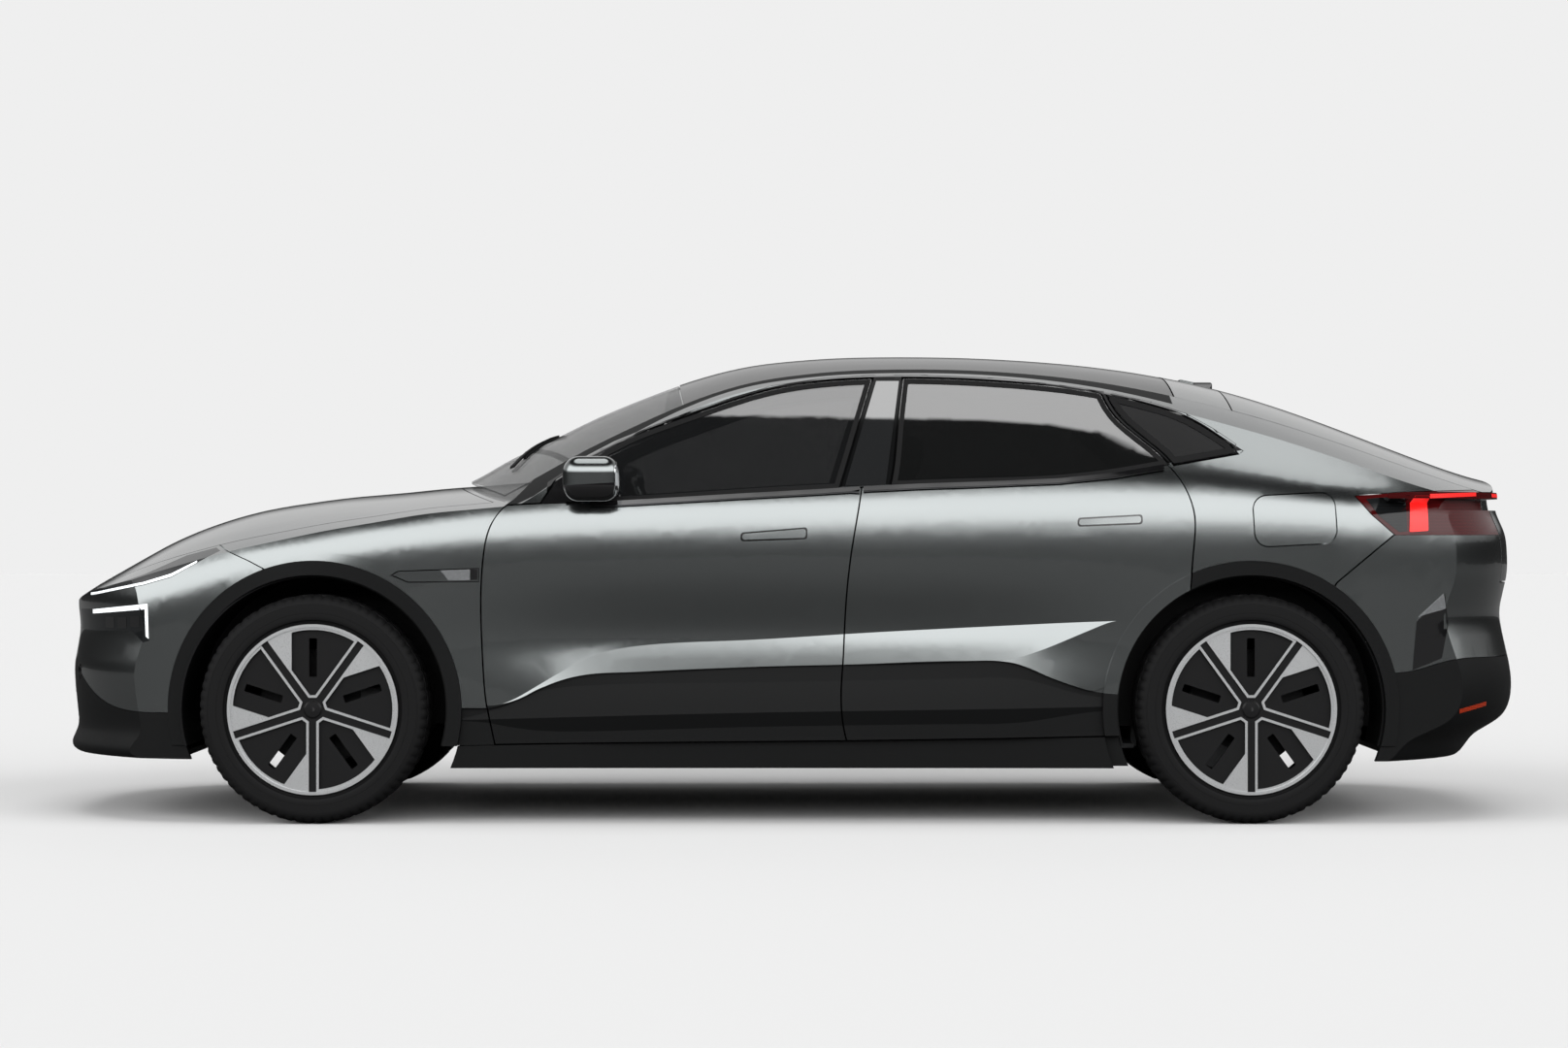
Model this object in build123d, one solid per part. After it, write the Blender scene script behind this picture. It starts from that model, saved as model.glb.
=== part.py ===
from build123d import *
from math import cos, radians, sin
import os

import numpy as np

os.makedirs("parts", exist_ok=True)

# A coupe sport utility vehicle in millimetres. +X runs from nose to tail, +Y to the
# car's right, +Z up. The origin is on the ground at mid-length on the centreline.

# Overall sizes ---------------------------------------------------------------------
front_overhang = 896
wheelbase = 2999
rear_overhang = 945
body_width = 2008
body_height = 1534

length = front_overhang + wheelbase + rear_overhang
nose_x = -length / 2
front_axle_x = nose_x + front_overhang
rear_axle_x = front_axle_x + wheelbase
tail_x = length / 2

# Wheels and steering ---------------------------------------------------------------
tyre_radius = 367           # loaded, hub to ground
tyre_width = 255
rim_radius = 273            # outside of the rim flanges
wheel_outset = 860          # centreline of the car to the middle of the tyre
arch_clearance = 63         # tyre to wheel opening
arch_trim = 45              # width of the dark trim round the opening
arch_trim_proud = 6
arch_trim_low = 250         # the trim and the liners end at this height
liner_thickness = 6
liner_outer = 950
front_well_inner = 525      # how far in the front wheel well reaches, from the centreline
rear_well_inner = 680
kingpin_outset = 820
rim_wall = 13
wheel_bolts = 5
bolt_circle_radius = 54
bolt_hole_radius = 7.5
centre_bore_radius = 32
disc_radius = 188
disc_thickness = 30
hub_height = tyre_radius
arch_radius = tyre_radius + arch_clearance

# Panels ----------------------------------------------------------------------------
shut_gap = 5                # between neighbouring panels
door_skin = 28
door_thickness = 118
door_step = 32              # how far the inner part of a door is set in from its edge
panel_thickness = 30
lid_thickness = 34
glass_thickness = 5
glass_inset = 6             # glass below the outer surface
glass_gap = 7
seal_land = 22              # width of body behind the edge of a glass
pillar_depth = 70
sill_depth = 190
sill_low = 185
sill_cover = (8, 34)        # outer and inner depth of the dark sill cover

# The body lines below are drawn on these sizes and stretched to the overall sizes.
DRAWN_STATIONS = (-2420, -1524, 1475, 2420)     # nose, front axle, rear axle, tail
DRAWN_WIDTH = 2008
DRAWN_HEIGHT = 1534


def along(x):
    """Station of a drawn x on the car."""
    stations = (nose_x, front_axle_x, rear_axle_x, tail_x)
    inside = np.interp(x, DRAWN_STATIONS, stations)
    before = np.minimum(np.asarray(x) - DRAWN_STATIONS[0], 0)
    after = np.maximum(np.asarray(x) - DRAWN_STATIONS[-1], 0)
    return inside + before + after


def across(y):
    return y * body_width / DRAWN_WIDTH


def up(z):
    return z * body_height / DRAWN_HEIGHT


def spline(*points):
    """A natural cubic spline through (station, value) points, straight past its ends."""
    at, value = np.array(points, float).T
    count = len(at)
    step = np.diff(at)
    slope = np.diff(value) / step
    system = np.eye(count)
    load = np.zeros(count)
    for i in range(1, count - 1):
        system[i, i - 1:i + 2] = step[i - 1], 2 * (step[i - 1] + step[i]), step[i]
        load[i] = 6 * (slope[i] - slope[i - 1])
    bend = np.linalg.solve(system, load)
    first_slope = slope[0] - step[0] * bend[1] / 6
    last_slope = slope[-1] + step[-1] * bend[-2] / 6

    def curve(x):
        inside = np.clip(x, at[0], at[-1])
        i = np.clip(np.searchsorted(at, inside) - 1, 0, count - 2)
        left, right, span = at[i + 1] - inside, inside - at[i], step[i]
        y = (bend[i] * left ** 3 + bend[i + 1] * right ** 3) / (6 * span)
        y = y + (value[i] / span - bend[i] * span / 6) * left
        y = y + (value[i + 1] / span - bend[i + 1] * span / 6) * right
        y = y + np.minimum(np.asarray(x) - at[0], 0) * first_slope
        return y + np.maximum(np.asarray(x) - at[-1], 0) * last_slope

    return curve


# Body lines ------------------------------------------------------------------------
# Half width of the body at its widest height, by station.
plan_half_width = spline(
    (-2420, 640), (-2330, 735), (-2200, 820), (-2050, 884), (-1850, 938), (-1650, 968),
    (-1450, 978), (-1100, 974), (-600, 968), (0, 968), (600, 972), (1100, 982),
    (1475, 992), (1800, 984), (2050, 948), (2250, 882), (2420, 790))
# Height of the shoulder, where the side turns inward.
shoulder_height = spline(
    (-2420, 650), (-2272, 715), (-2090, 770), (-1834, 850), (-1524, 920), (-1200, 972),
    (-833, 1012), (-300, 1040), (231, 1062), (861, 1082), (1462, 1085), (1811, 1062),
    (2100, 1035), (2420, 1000))
# Inward lean above the shoulder, in mm per mm of height.
side_lean = spline(
    (-2420, 0.95), (-1900, 0.9), (-1300, 0.78), (-833, 0.68), (231, 0.66), (900, 0.7),
    (1462, 0.95), (1900, 1.25), (2420, 1.3))
shoulder_softness = 34
# Centreline heights.
bonnet_line = spline(
    (-2420, 672), (-2350, 742), (-2190, 848), (-2070, 913), (-1950, 962), (-1787, 1008),
    (-1653, 1031), (-1519, 1049), (-1385, 1061), (-1251, 1074), (-1100, 1087), (-850, 1104))
roof_line = spline(
    (-1250, 1030), (-1050, 1134), (-916, 1201), (-782, 1267), (-648, 1331), (-514, 1387),
    (-380, 1437), (-246, 1478), (-112, 1506), (22, 1521), (156, 1530), (357, 1534),
    (558, 1532), (826, 1519), (1094, 1493), (1295, 1460), (1496, 1413), (1764, 1327),
    (2032, 1225), (2233, 1150), (2340, 1117), (2420, 1100))
# Fall of the top from the centreline, in mm per (100 mm of half width) squared.
bonnet_crown = spline(
    (-2420, 1.1), (-2272, 1.25), (-2090, 1.6), (-1834, 1.6), (-1524, 1.3), (-1150, 1.0),
    (-850, 0.95))
roof_crown = spline(
    (-1200, 2.3), (-600, 2.25), (-240, 2.06), (300, 1.88), (900, 2.0), (1330, 2.3),
    (1800, 2.1), (2400, 1.5))
# Nose and tail, as the station of the middle by height.
nose_profile = spline(
    (100, -2327), (200, -2374), (234, -2415), (300, -2411), (366, -2414), (432, -2420),
    (498, -2420), (564, -2409), (620, -2403), (700, -2409), (760, -2401), (900, -2357))
tail_profile = spline(
    (100, 1916), (201, 2119), (234, 2245), (267, 2301), (300, 2354), (333, 2390),
    (366, 2410), (432, 2420), (531, 2406), (620, 2386), (700, 2384), (780, 2403),
    (860, 2406), (927, 2398), (990, 2372), (1050, 2361), (1100, 2354), (1200, 2316))
nose_corner = 3.0           # sharpness of the plan corners
tail_corner = 4.0


window_foot = 1080
window_height = 350
window_barrel = 13          # how far the side windows bulge between foot and top


def window_bulge(z):
    """Outward curve of the side above the belt, none at the windows' foot and top."""
    u = max(0.0, (z - window_foot) / window_height)
    return window_barrel * 27 / 4 * u * u * (1 - u)


def side_half_width(x, z):
    rise = (z - shoulder_height(x)) / shoulder_softness
    roll = side_lean(x) * shoulder_softness * np.log1p(np.exp(np.minimum(rise, 60)))
    above = np.clip(z - 860, 0, 220) / 220
    waist = np.exp(-((z - 600) / 120) ** 2) * np.exp(-((x - 20) / 900) ** 4)
    return plan_half_width(x) - roll - 14 * above ** 2 - 20 * waist + window_bulge(z)


def bonnet_height(x, y):
    return bonnet_line(x) - bonnet_crown(x) * (y / 100) ** 2


def roof_height(x, y):
    return roof_line(x) - roof_crown(x) * (y / 100) ** 2


def nose_station(y, z):
    return nose_profile(z) + 330 * (abs(y) / 880) ** nose_corner


def tail_station(y, z):
    return tail_profile(z) - 240 * (abs(y) / 900) ** tail_corner


# Surfaces and the blocks that they bound ---------------------------------------------
REACH = 6000                # longer than the car, so that only a block's near face cuts


def surface(point, us, vs):
    return Face.make_surface_from_array_of_points([[point(u, v) for v in vs] for u in us])


def stations(start, end, step):
    return np.linspace(start, end, max(2, round((end - start) / step) + 1))


def side_surface(depth=0):
    """The left side, moved in by depth."""
    def point(x, z):
        return Vector(float(along(x)), depth - across(float(side_half_width(x, z))), up(z))
    return surface(point, stations(-2560, 2560, 160), stations(90, 1610, 60))


def top_surface(height, start, end, depth=0):
    def point(x, y):
        return Vector(float(along(x)), across(y), up(float(height(x, y))) - depth)
    return surface(point, stations(start, end, 130), stations(-1140, 1140, 190))


def nose_surface(depth=0):
    def point(y, z):
        return Vector(float(along(nose_station(y, z))) + depth, across(y), up(z))
    return surface(point, stations(-1200, 1200, 100), stations(70, 1660, 60))


def tail_surface(depth=0):
    def point(y, z):
        return Vector(float(along(tail_station(y, z))) - depth, across(y), up(z))
    return surface(point, stations(-1200, 1200, 100), stations(70, 1660, 60))


def inside_left(depth=0, reach=REACH):
    return extrude(side_surface(depth), amount=reach, dir=(0, 1, 0))


def inside_sides(depth=0):
    left = inside_left(depth)
    return left & mirror(left, about=Plane.XZ)


def under_bonnet(depth=0, reach=REACH):
    return extrude(top_surface(bonnet_height, -2560, -700, depth), amount=reach, dir=(0, 0, -1))


def under_roof(depth=0, reach=REACH):
    return extrude(top_surface(roof_height, -1250, 2560, depth), amount=reach, dir=(0, 0, -1))


def behind_nose(depth=0, reach=REACH):
    return extrude(nose_surface(depth), amount=reach, dir=(1, 0, 0))


def ahead_of_tail(depth=0, reach=REACH):
    return extrude(tail_surface(depth), amount=reach, dir=(-1, 0, 0))


# Outlines --------------------------------------------------------------------------
HALF = 1400                 # wider than half the car


def curve_edge(points):
    if len(points) == 2:
        return Edge.make_line(*points)
    return Edge.make_spline([Vector(*p) for p in points])


def four_edge_face(corner_curves):
    return Face(Wire([curve_edge(points) for points in corner_curves]))


def corner(edge, level, start):
    """Where edge(v) = u meets level(u) = v."""
    u = start
    for _ in range(30):
        v = level(u)
        u = edge(v)
    return float(u), float(v)


def side_panel(front, rear, bottom, top, grow=0, count=11):
    """A side-view face between four drawn lines, grown by a few mm all round."""
    def grown(line, amount):
        return lambda t: line(t) + amount
    front, rear = grown(front, -grow), grown(rear, grow)
    bottom, top = grown(bottom, -grow), grown(top, grow)
    low_front, low_rear = corner(front, bottom, front(600)), corner(rear, bottom, rear(600))
    top_front, top_rear = corner(front, top, low_front[0]), corner(rear, top, low_rear[0])

    def upright(line, start, end):
        return [(line(z), z) for z in np.linspace(start[1], end[1], count)]

    def level(line, start, end):
        return [(x, line(x)) for x in np.linspace(start[0], end[0], count)]
    runs = [
        [low_front] + level(bottom, low_front, low_rear)[1:-1] + [low_rear],
        [low_rear] + upright(rear, low_rear, top_rear)[1:-1] + [top_rear],
        [top_rear] + level(top, top_rear, top_front)[1:-1] + [top_front],
        [top_front] + upright(front, top_front, low_front)[1:-1] + [low_front]]
    return four_edge_face(
        [[(float(along(x)), 0, float(up(z))) for x, z in run] for run in runs])


def side_polygon(*points):
    """A side-view face with straight drawn edges."""
    corners = [(float(along(x)), 0, up(z)) for x, z in points]
    return Face(Wire([Edge.make_line(a, b) for a, b in zip(corners, corners[1:] + corners[:1])]))


def left_prism(face, inner=0, outer=HALF):
    """A side-view face pushed out to the left, from y = -inner to y = -outer."""
    return extrude(Pos(0, -inner, 0) * face, amount=outer - inner, dir=(0, -1, 0))


def full_prism(face):
    return extrude(Pos(0, -HALF, 0) * face, amount=2 * HALF, dir=(0, 1, 0))


def plan_panel(half_width, start, end, grow=0, count=15, bow_front=0, bow_rear=0):
    """A plan-view face, symmetric about the centreline, between two stations."""
    def rounded(x, bow, y, edge):
        return x + bow * ((y / edge) ** 2 - 1)
    xs = np.linspace(start - grow, end + grow, count)
    side = [(float(x), float(half_width(x)) + grow) for x in xs]
    first, last = side[0], side[-1]
    front = [(rounded(first[0], bow_front, y, first[1]), y)
             for y in np.linspace(-first[1], first[1], 9)]
    rear = [(rounded(last[0], bow_rear, y, last[1]), y)
            for y in np.linspace(last[1], -last[1], 9)]
    other = [(x, -y) for x, y in reversed(side)]
    runs = [front, side, rear, other]
    return four_edge_face(
        [[(float(along(x)), across(y), 0) for x, y in run] for run in runs])


def tall_prism(face, low=0, high=1800):
    return extrude(Pos(0, 0, low) * face, amount=high - low, dir=(0, 0, 1))


def wheel_cylinder(axle_x, radius, inner, outer):
    """A cylinder along Y on the left, from |y| = inner to |y| = outer."""
    place = Pos(axle_x, -(inner + outer) / 2, hub_height) * Rot(90, 0, 0)
    return place * Cylinder(radius, outer - inner)


def drawn_box(x0, x1, y0, y1, z0, z1):
    """A box between drawn stations, half widths and heights."""
    a, b = float(along(x0)), float(along(x1))
    c, d = across(y0), across(y1)
    e, f = up(z0), up(z1)
    return Pos((a + b) / 2, (c + d) / 2, (e + f) / 2) * Box(b - a, d - c, f - e)


def right_of(piece):
    return mirror(piece, about=Plane.XZ)


def both_sides(piece):
    return Compound(children=[*piece.solids(), *right_of(piece).solids()])


def largest(piece):
    """The main solid, without the slivers that cuts along curved lines leave."""
    return max(piece.solids(), key=lambda solid: solid.volume)


def write(piece, name):
    solids = piece.solids()
    if not solids:
        raise ValueError(name + " is empty")
    shape = solids[0] if len(solids) == 1 else Compound(children=list(solids))
    export_step(shape, "parts/" + name + ".step", write_pcurves=False)
    print(name, len(solids), "solids", round(sum(s.volume for s in solids) / 1e6, 2), "litres")


def shifted(line, amount):
    return lambda t: line(t) + amount


def level(value):
    """A straight line at one value."""
    return lambda t: np.zeros_like(t) + value


# Shut lines, as the station by height or the height by station ------------------------
front_door_front = spline(
    (200, -930), (262, -942), (372, -965), (526, -979), (712, -985), (836, -979), (923, -965),
    (982, -938), (1022, -902), (1085, -853))
front_door_rear = spline(
    (200, 192), (262, 183), (341, 168), (527, 171), (650, 177), (774, 186), (898, 202),
    (991, 218), (1075, 231))
rear_door_rear = spline(
    (200, 1270), (600, 1272), (774, 1279), (898, 1289), (1016, 1287), (1060, 1271),
    (1100, 1245), (1141, 1217))
door_bottom = spline((-985, 256), (-539, 263), (174, 270), (577, 276), (1104, 285), (1290, 288))
belt = spline(
    (-985, 1013), (-833, 1022), (-542, 1030), (-168, 1053), (231, 1075), (580, 1088),
    (861, 1099), (1048, 1120), (1237, 1152), (1462, 1192))
glass_top = spline(
    (-760, 1100), (-567, 1214), (-308, 1316), (-59, 1396), (120, 1424), (268, 1433),
    (420, 1434), (700, 1421), (1007, 1384), (1180, 1342), (1286, 1303), (1412, 1222),
    (1470, 1180))
sail_front = spline((1000, -812), (1100, -752), (1400, -700))
front_glass_front = spline((1000, -650), (1400, -590))
front_glass_rear = spline((1050, 150), (1078, 159), (1269, 218), (1433, 268))
rear_glass_front = spline((1050, 316), (1078, 324), (1269, 351), (1433, 372))
rear_glass_rear = spline((1100, 1245), (1163, 1207), (1304, 1054), (1385, 1010))
quarter_glass_front = spline((1100, 1262), (1163, 1226), (1304, 1076), (1385, 1032))
quarter_glass_rear = spline((1100, 1500), (1250, 1395), (1400, 1290))


# Lower side: the crease above the ledge, the foot of the ledge, the top of the dark
# cladding, the foot of its undercut and its ridge.
ledge_crease = spline(
    (-1300, 372), (-972, 376), (-910, 388), (-832, 427), (-663, 524), (-585, 552), (-508, 566),
    (-167, 586), (174, 606), (577, 628), (888, 644), (1042, 650), (1300, 655))
ledge_foot = spline(
    (-1300, 372), (-972, 376), (-894, 388), (-785, 437), (-661, 474), (-507, 484), (-166, 499),
    (174, 508), (576, 520), (700, 527), (800, 556), (900, 596), (1042, 650), (1300, 655))
cladding_top = spline(
    (-1300, 374), (-972, 379), (-894, 391), (-785, 440), (-661, 477), (-507, 487), (-166, 502),
    (174, 511), (576, 523), (700, 519), (760, 502), (824, 474), (900, 446), (979, 424),
    (1118, 415), (1300, 412))
undercut_foot = spline(
    (-1300, 350), (-972, 358), (-848, 412), (-700, 440), (-600, 446), (-166, 453), (174, 459),
    (576, 468), (760, 462), (900, 424), (1118, 396), (1300, 394))
cladding_ridge = spline(
    (-1300, 325), (-971, 335), (-538, 348), (-166, 357), (174, 363), (576, 369), (1300, 382))
ledge_slope = 0.30          # how far the ledge stands out, per mm of its height
undercut_inset = 12
facet_slope = 0.13
lower_facet_slope = 0.27


def ledge_bulge(x):
    return ledge_slope * np.maximum(ledge_crease(x) - ledge_foot(x), 0)


def ledge_half(x, z):
    return side_half_width(x, z) + ledge_slope * (ledge_crease(x) - z)


def lower_half(x, z):
    return side_half_width(x, z) + ledge_bulge(x)


def undercut_half(x, z):
    return lower_half(x, z) - undercut_inset


def facet_half(x, z):
    return undercut_half(x, z) + facet_slope * (undercut_foot(x) - z)


def lower_facet_half(x, z):
    at_ridge = facet_slope * (undercut_foot(x) - cladding_ridge(x)) - undercut_inset
    return lower_half(x, z) + at_ridge + lower_facet_slope * (z - cladding_ridge(x))


def side_layer(half_width, reach, depth=0):
    """The block inboard of a left side surface drawn by its half width."""
    def point(x, z):
        return Vector(float(along(x)), depth - across(float(half_width(x, z))), up(z))
    face = surface(point, stations(-1240, 1340, 60), stations(150, 750, 100))
    return extrude(face, amount=reach, dir=(0, 1, 0))


def lower_side():
    """The ledge and the dark cladding below it, from the wing to the rear wheel."""
    painted = side_layer(ledge_half, 60) & side_layer(lower_half, 75)
    painted &= left_prism(side_panel(level(-1200),
                                     level(1320),
                                     cladding_top, shifted(ledge_crease, 12), count=41))
    facets = side_layer(facet_half, 62) & side_layer(lower_facet_half, 62)
    dark = side_layer(undercut_half, 50) + facets
    dark &= left_prism(side_panel(level(-1200),
                                  level(1320),
                                  level(160), cladding_top, count=41))
    return painted + dark


def front_door_face(grow=0):
    return side_panel(front_door_front, shifted(front_door_rear, -shut_gap / 2),
                      door_bottom, belt, grow)


def rear_door_face(grow=0):
    return side_panel(shifted(front_door_rear, shut_gap / 2), rear_door_rear,
                      door_bottom, belt, grow)


def front_glass_face(grow=0):
    return side_panel(front_glass_front, front_glass_rear, shifted(belt, 1), glass_top, grow)


def sail_face(grow=0):
    return side_panel(sail_front, shifted(front_glass_front, -2), shifted(belt, 1), glass_top, grow)


def front_light_face(grow=0):
    """The whole opening above the front door: sail plate and glass."""
    return side_panel(sail_front, front_glass_rear, belt, glass_top, grow)


def rear_glass_face(grow=0):
    return side_panel(rear_glass_front, rear_glass_rear, shifted(belt, 1), glass_top, grow)


def quarter_glass_face(grow=0):
    return side_panel(quarter_glass_front, quarter_glass_rear, shifted(belt, 1), glass_top, grow)


bonnet_edge = spline(
    (-2330, 560), (-2200, 640), (-2050, 715), (-1834, 795), (-1524, 838), (-1200, 842),
    (-960, 838))
roof_edge = spline(
    (-1000, 800), (-700, 745), (-400, 690), (-100, 628), (250, 590), (700, 590), (1000, 600),
    (1260, 618), (1600, 640), (2000, 660), (2340, 672))


# Left side frame: sill, pillars, roof rail and rear quarter ---------------------------
def wall_surface():
    """The inner face of the side frame: deep at the sill, slimmer at the pillars."""
    def point(x, z):
        wall = pillar_depth + (sill_depth - pillar_depth) * float(
            np.clip((1080 - z) / 120, 0, 1))
        return Vector(float(along(x)), wall - across(float(side_half_width(x, z))), up(z))
    return surface(point, stations(-2560, 2560, 160), stations(90, 1610, 60))


def front_well():
    return wheel_cylinder(front_axle_x, arch_radius, front_well_inner, HALF)


def rear_well():
    return wheel_cylinder(rear_axle_x, arch_radius, rear_well_inner, HALF)


def side_slab(start, end):
    """The layer of the left side between two depths below the surface."""
    return inside_left(start, end - start)


def arch_ring_left(axle_x, gap=0):
    """The raised trim round a wheel opening; a gap makes it the space it stands in."""
    ring = wheel_cylinder(axle_x, arch_radius + arch_trim + gap, 600, HALF)
    ring -= wheel_cylinder(axle_x, arch_radius - gap, 590, HALF + 10)
    ring &= side_slab(-arch_trim_proud - gap, panel_thickness + gap)
    return ring & drawn_box(-2600, 2600, -HALF, 0, arch_trim_low - gap, 1300)


# Doors -------------------------------------------------------------------------------
def door_layer(lower):
    """The skin of both doors, with the ledge and cladding below its crease."""
    skin = side_slab(0, door_skin) - left_prism(side_panel(
        level(-1200), level(1320), level(160), shifted(ledge_crease, -6), count=41))
    return skin + lower


def door_left(face, layer):
    """A door: its share of the outer layer, and the deep inner part behind."""
    inner = side_slab(door_skin, door_thickness) & left_prism(face(-door_step))
    door = (layer & left_prism(face())) + inner
    ring = arch_ring_left(rear_axle_x) & left_prism(face())
    return door + ring - rear_well()


def side_glass_left(face):
    layer = side_slab(glass_inset, glass_inset + glass_thickness)
    return layer & left_prism(face()) & under_roof(0)


mirror_middle = (-632, -988, 1104)
mirror_size = (182, 162, 144)
mirror_rounding = 52
mirror_foot = (64, 120, 26)
mirror_foot_ahead = 54      # middle of the case forward to the middle of its foot
mirror_gap = 14             # mirror case to the door beside it


def door_mirror_left():
    """Mirror case on a foot that stands on the sail plate ahead of the door glass."""
    x, y, z = float(along(mirror_middle[0])), across(mirror_middle[1]), up(mirror_middle[2])
    case = Pos(x, y, z) * Box(*mirror_size)
    case = fillet(case.edges(), mirror_rounding) - inside_left(-mirror_gap)
    length, width, height = mirror_foot
    foot_x, foot_z = x - mirror_foot_ahead, z - mirror_size[2] / 2 + 12
    foot = Pos(foot_x, y + 30 + width / 2, foot_z) * Box(length, width, height)
    sail = side_slab(glass_inset, glass_inset + 8) & left_prism(sail_face()) & under_roof(0)
    return case + (foot - inside_left(glass_inset + 4)) + sail


# Bonnet, roof and tailgate -------------------------------------------------------------
bonnet_rear = -960
bonnet_rear_bow = 165
windscreen_front = -925
windscreen_rear = -350
roof_glass_rear = 1262
tailgate_front = 1457
tailgate_half = 672
tailgate_low = 772


def bonnet_plan(grow=0):
    return plan_panel(bonnet_edge, -2420, bonnet_rear, grow, bow_rear=bonnet_rear_bow)


def bonnet():
    layer = extrude(top_surface(bonnet_height, -2560, -700), amount=lid_thickness, dir=(0, 0, -1))
    return layer & tall_prism(bonnet_plan()) & behind_nose(bonnet_lip)


bonnet_lip = 62


def roof_layer(start, end):
    return extrude(top_surface(roof_height, -1250, 2560, start), amount=end - start,
                   dir=(0, 0, -1))


def windscreen():
    plan = plan_panel(shifted(roof_edge, -shut_gap), windscreen_front, windscreen_rear,
                      bow_front=bonnet_rear_bow, bow_rear=30)
    return roof_layer(3, 3 + glass_thickness + 1) & tall_prism(plan)


def roof_glass():
    plan = plan_panel(shifted(roof_edge, -shut_gap), windscreen_rear + shut_gap, roof_glass_rear,
                      bow_front=30)
    return roof_layer(1, 2 + glass_thickness) & tall_prism(plan)


def roof_frame():
    """Header under the windscreen's top edge, and the painted panel behind the roof
    glass with the housing of the rear camera."""
    plan = plan_panel(shifted(roof_edge, -1), windscreen_rear - 60, windscreen_rear + 30)
    header = roof_layer(12, 48) & tall_prism(plan)
    plan = plan_panel(shifted(roof_edge, -1), roof_glass_rear + shut_gap,
                      tailgate_front - shut_gap)
    panel = roof_layer(0, 44) & tall_prism(plan)
    camera = Pos(float(along(1392)), 0, up(1434)) * Rot(0, 12, 0) * Box(108, 64, 30)
    return Compound(children=[header.solid(), (panel + fillet(camera.edges(), 10)).solid()])


def tailgate_region(grow=0):
    """The space of the tailgate: the sloping panel and the upper part of the tail."""
    slope = tall_prism(plan_panel(shifted(roof_edge, -shut_gap), tailgate_front, 2600, grow),
                       low=up(tailgate_low) - grow)
    return slope


lamp_bar_low = 1042
lamp_bar_high = 1063
lamp_recess_low = 1004
lamp_recess_depth = 24
lamp_bar_proud = 12


def lamp_recess():
    """The trough across the tail that the light bar stands in."""
    band = drawn_box(1700, 2700, -HALF, HALF, lamp_recess_low, lamp_bar_high + 2)
    return band - ahead_of_tail(lamp_recess_depth)


def lamp_bar():
    band = drawn_box(1900, 2700, -HALF, HALF, lamp_bar_low, lamp_bar_high)
    return (band & ahead_of_tail(-lamp_bar_proud)) - ahead_of_tail(lamp_recess_depth + 6)


def tailgate():
    outer = tailgate_region() & under_roof(0) & ahead_of_tail(0)
    lid = outer - (under_roof(lid_thickness) & ahead_of_tail(lid_thickness + 8))
    return lid - lamp_recess()


def tailgate_light_bar():
    half = tailgate_half - shut_gap - 3
    bar = lamp_bar() & drawn_box(1900, 2700, -half, half, 900, 1200)
    return bar - ahead_of_tail(lamp_recess_depth)


# Front wings and bumpers ----------------------------------------------------------------
front_split = ((-2800, 60), (-1600, 60), (-1600, 700), (-1688, 817), (-1737, 842),
               (-1817, 876), (-1880, 905), (-2000, 1300), (-2800, 1300))
rear_split = ((1700, 60), (2800, 60), (2800, 924), (1935, 924), (1752, 774), (1700, 700))
lamp_corner = ((1812, 1050), (1956, 1062), (2800, 1090), (2800, 926), (1937, 926), (1864, 990))


def moved(points, dx, dz):
    return [(x + dx, z + dz) for x, z in points]


def front_corner_shell(thickness=panel_thickness):
    outer = inside_sides(0) & under_bonnet(0) & behind_nose(0)
    inner = inside_sides(thickness) & under_bonnet(thickness) & behind_nose(thickness)
    return outer - inner


def wing_face(grow=0):
    return side_panel(level(-2500), shifted(front_door_front, -shut_gap), level(sill_low),
                      level(1150), grow)


wing_skin_low = 372


def front_wing_left(shell):
    """The painted wing above the wheel and the panel between the wheel and the door."""
    wing = shell & left_prism(wing_face())
    wing -= full_prism(side_polygon(*moved(front_split, 8, 0)))
    wing -= tall_prism(bonnet_plan(shut_gap))
    wing -= drawn_box(-2600, 0, -HALF, HALF, 0, wing_skin_low)
    wing -= arch_ring_left(front_axle_x, 1)
    return largest(wing - front_well())


painted_edge = spline((-2420, 575), (-2370, 500), (-2300, 425), (-2200, 368), (-2090, 354),
                      (-1900, 354), (-1600, 354))
blade_lamp = ((-2420, 712), (-2272, 728), (-2087, 762), (-1991, 788), (-1834, 874),
              (-1856, 884), (-1958, 858), (-2090, 797), (-2233, 752), (-2420, 738))
corner_lamp = ((-2420, 612), (-2262, 611), (-2125, 614), (-2084, 578), (-2062, 584),
               (-2066, 704), (-2278, 682), (-2420, 676))
lamp_inner_half = 470


def lamp_space(polygon):
    """A lamp's outline pushed through the car, without the middle of the nose."""
    return full_prism(side_polygon(*polygon)) - drawn_box(
        -2600, -1500, -lamp_inner_half, lamp_inner_half, 0, 1300)


def front_bumper(shell):
    face = side_panel(level(-2700), level(-1500), shifted(painted_edge, 1), level(1150))
    bumper = shell & full_prism(face) & full_prism(side_polygon(*front_split))
    bumper -= tall_prism(bonnet_plan(shut_gap)) & behind_nose(bonnet_lip - shut_gap)
    for ring in (arch_ring_left(front_axle_x, 1), front_well()):
        bumper = bumper - ring - right_of(ring)
    for polygon in (blade_lamp, corner_lamp):
        bumper -= lamp_space(polygon)
    bumper -= tow_socket_space()
    return largest(bumper)


def headlamps(shell):
    """Clear lamps, upper blade and corner lamp, left and right."""
    lamps = []
    bonnet_space = tall_prism(bonnet_plan(shut_gap)) & behind_nose(bonnet_lip - shut_gap)
    for polygon in (blade_lamp, corner_lamp):
        lamps += (shell & lamp_space(polygon) - bonnet_space).solids()
    return Compound(children=[lamp for lamp in lamps if lamp.volume > 5000])


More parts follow.
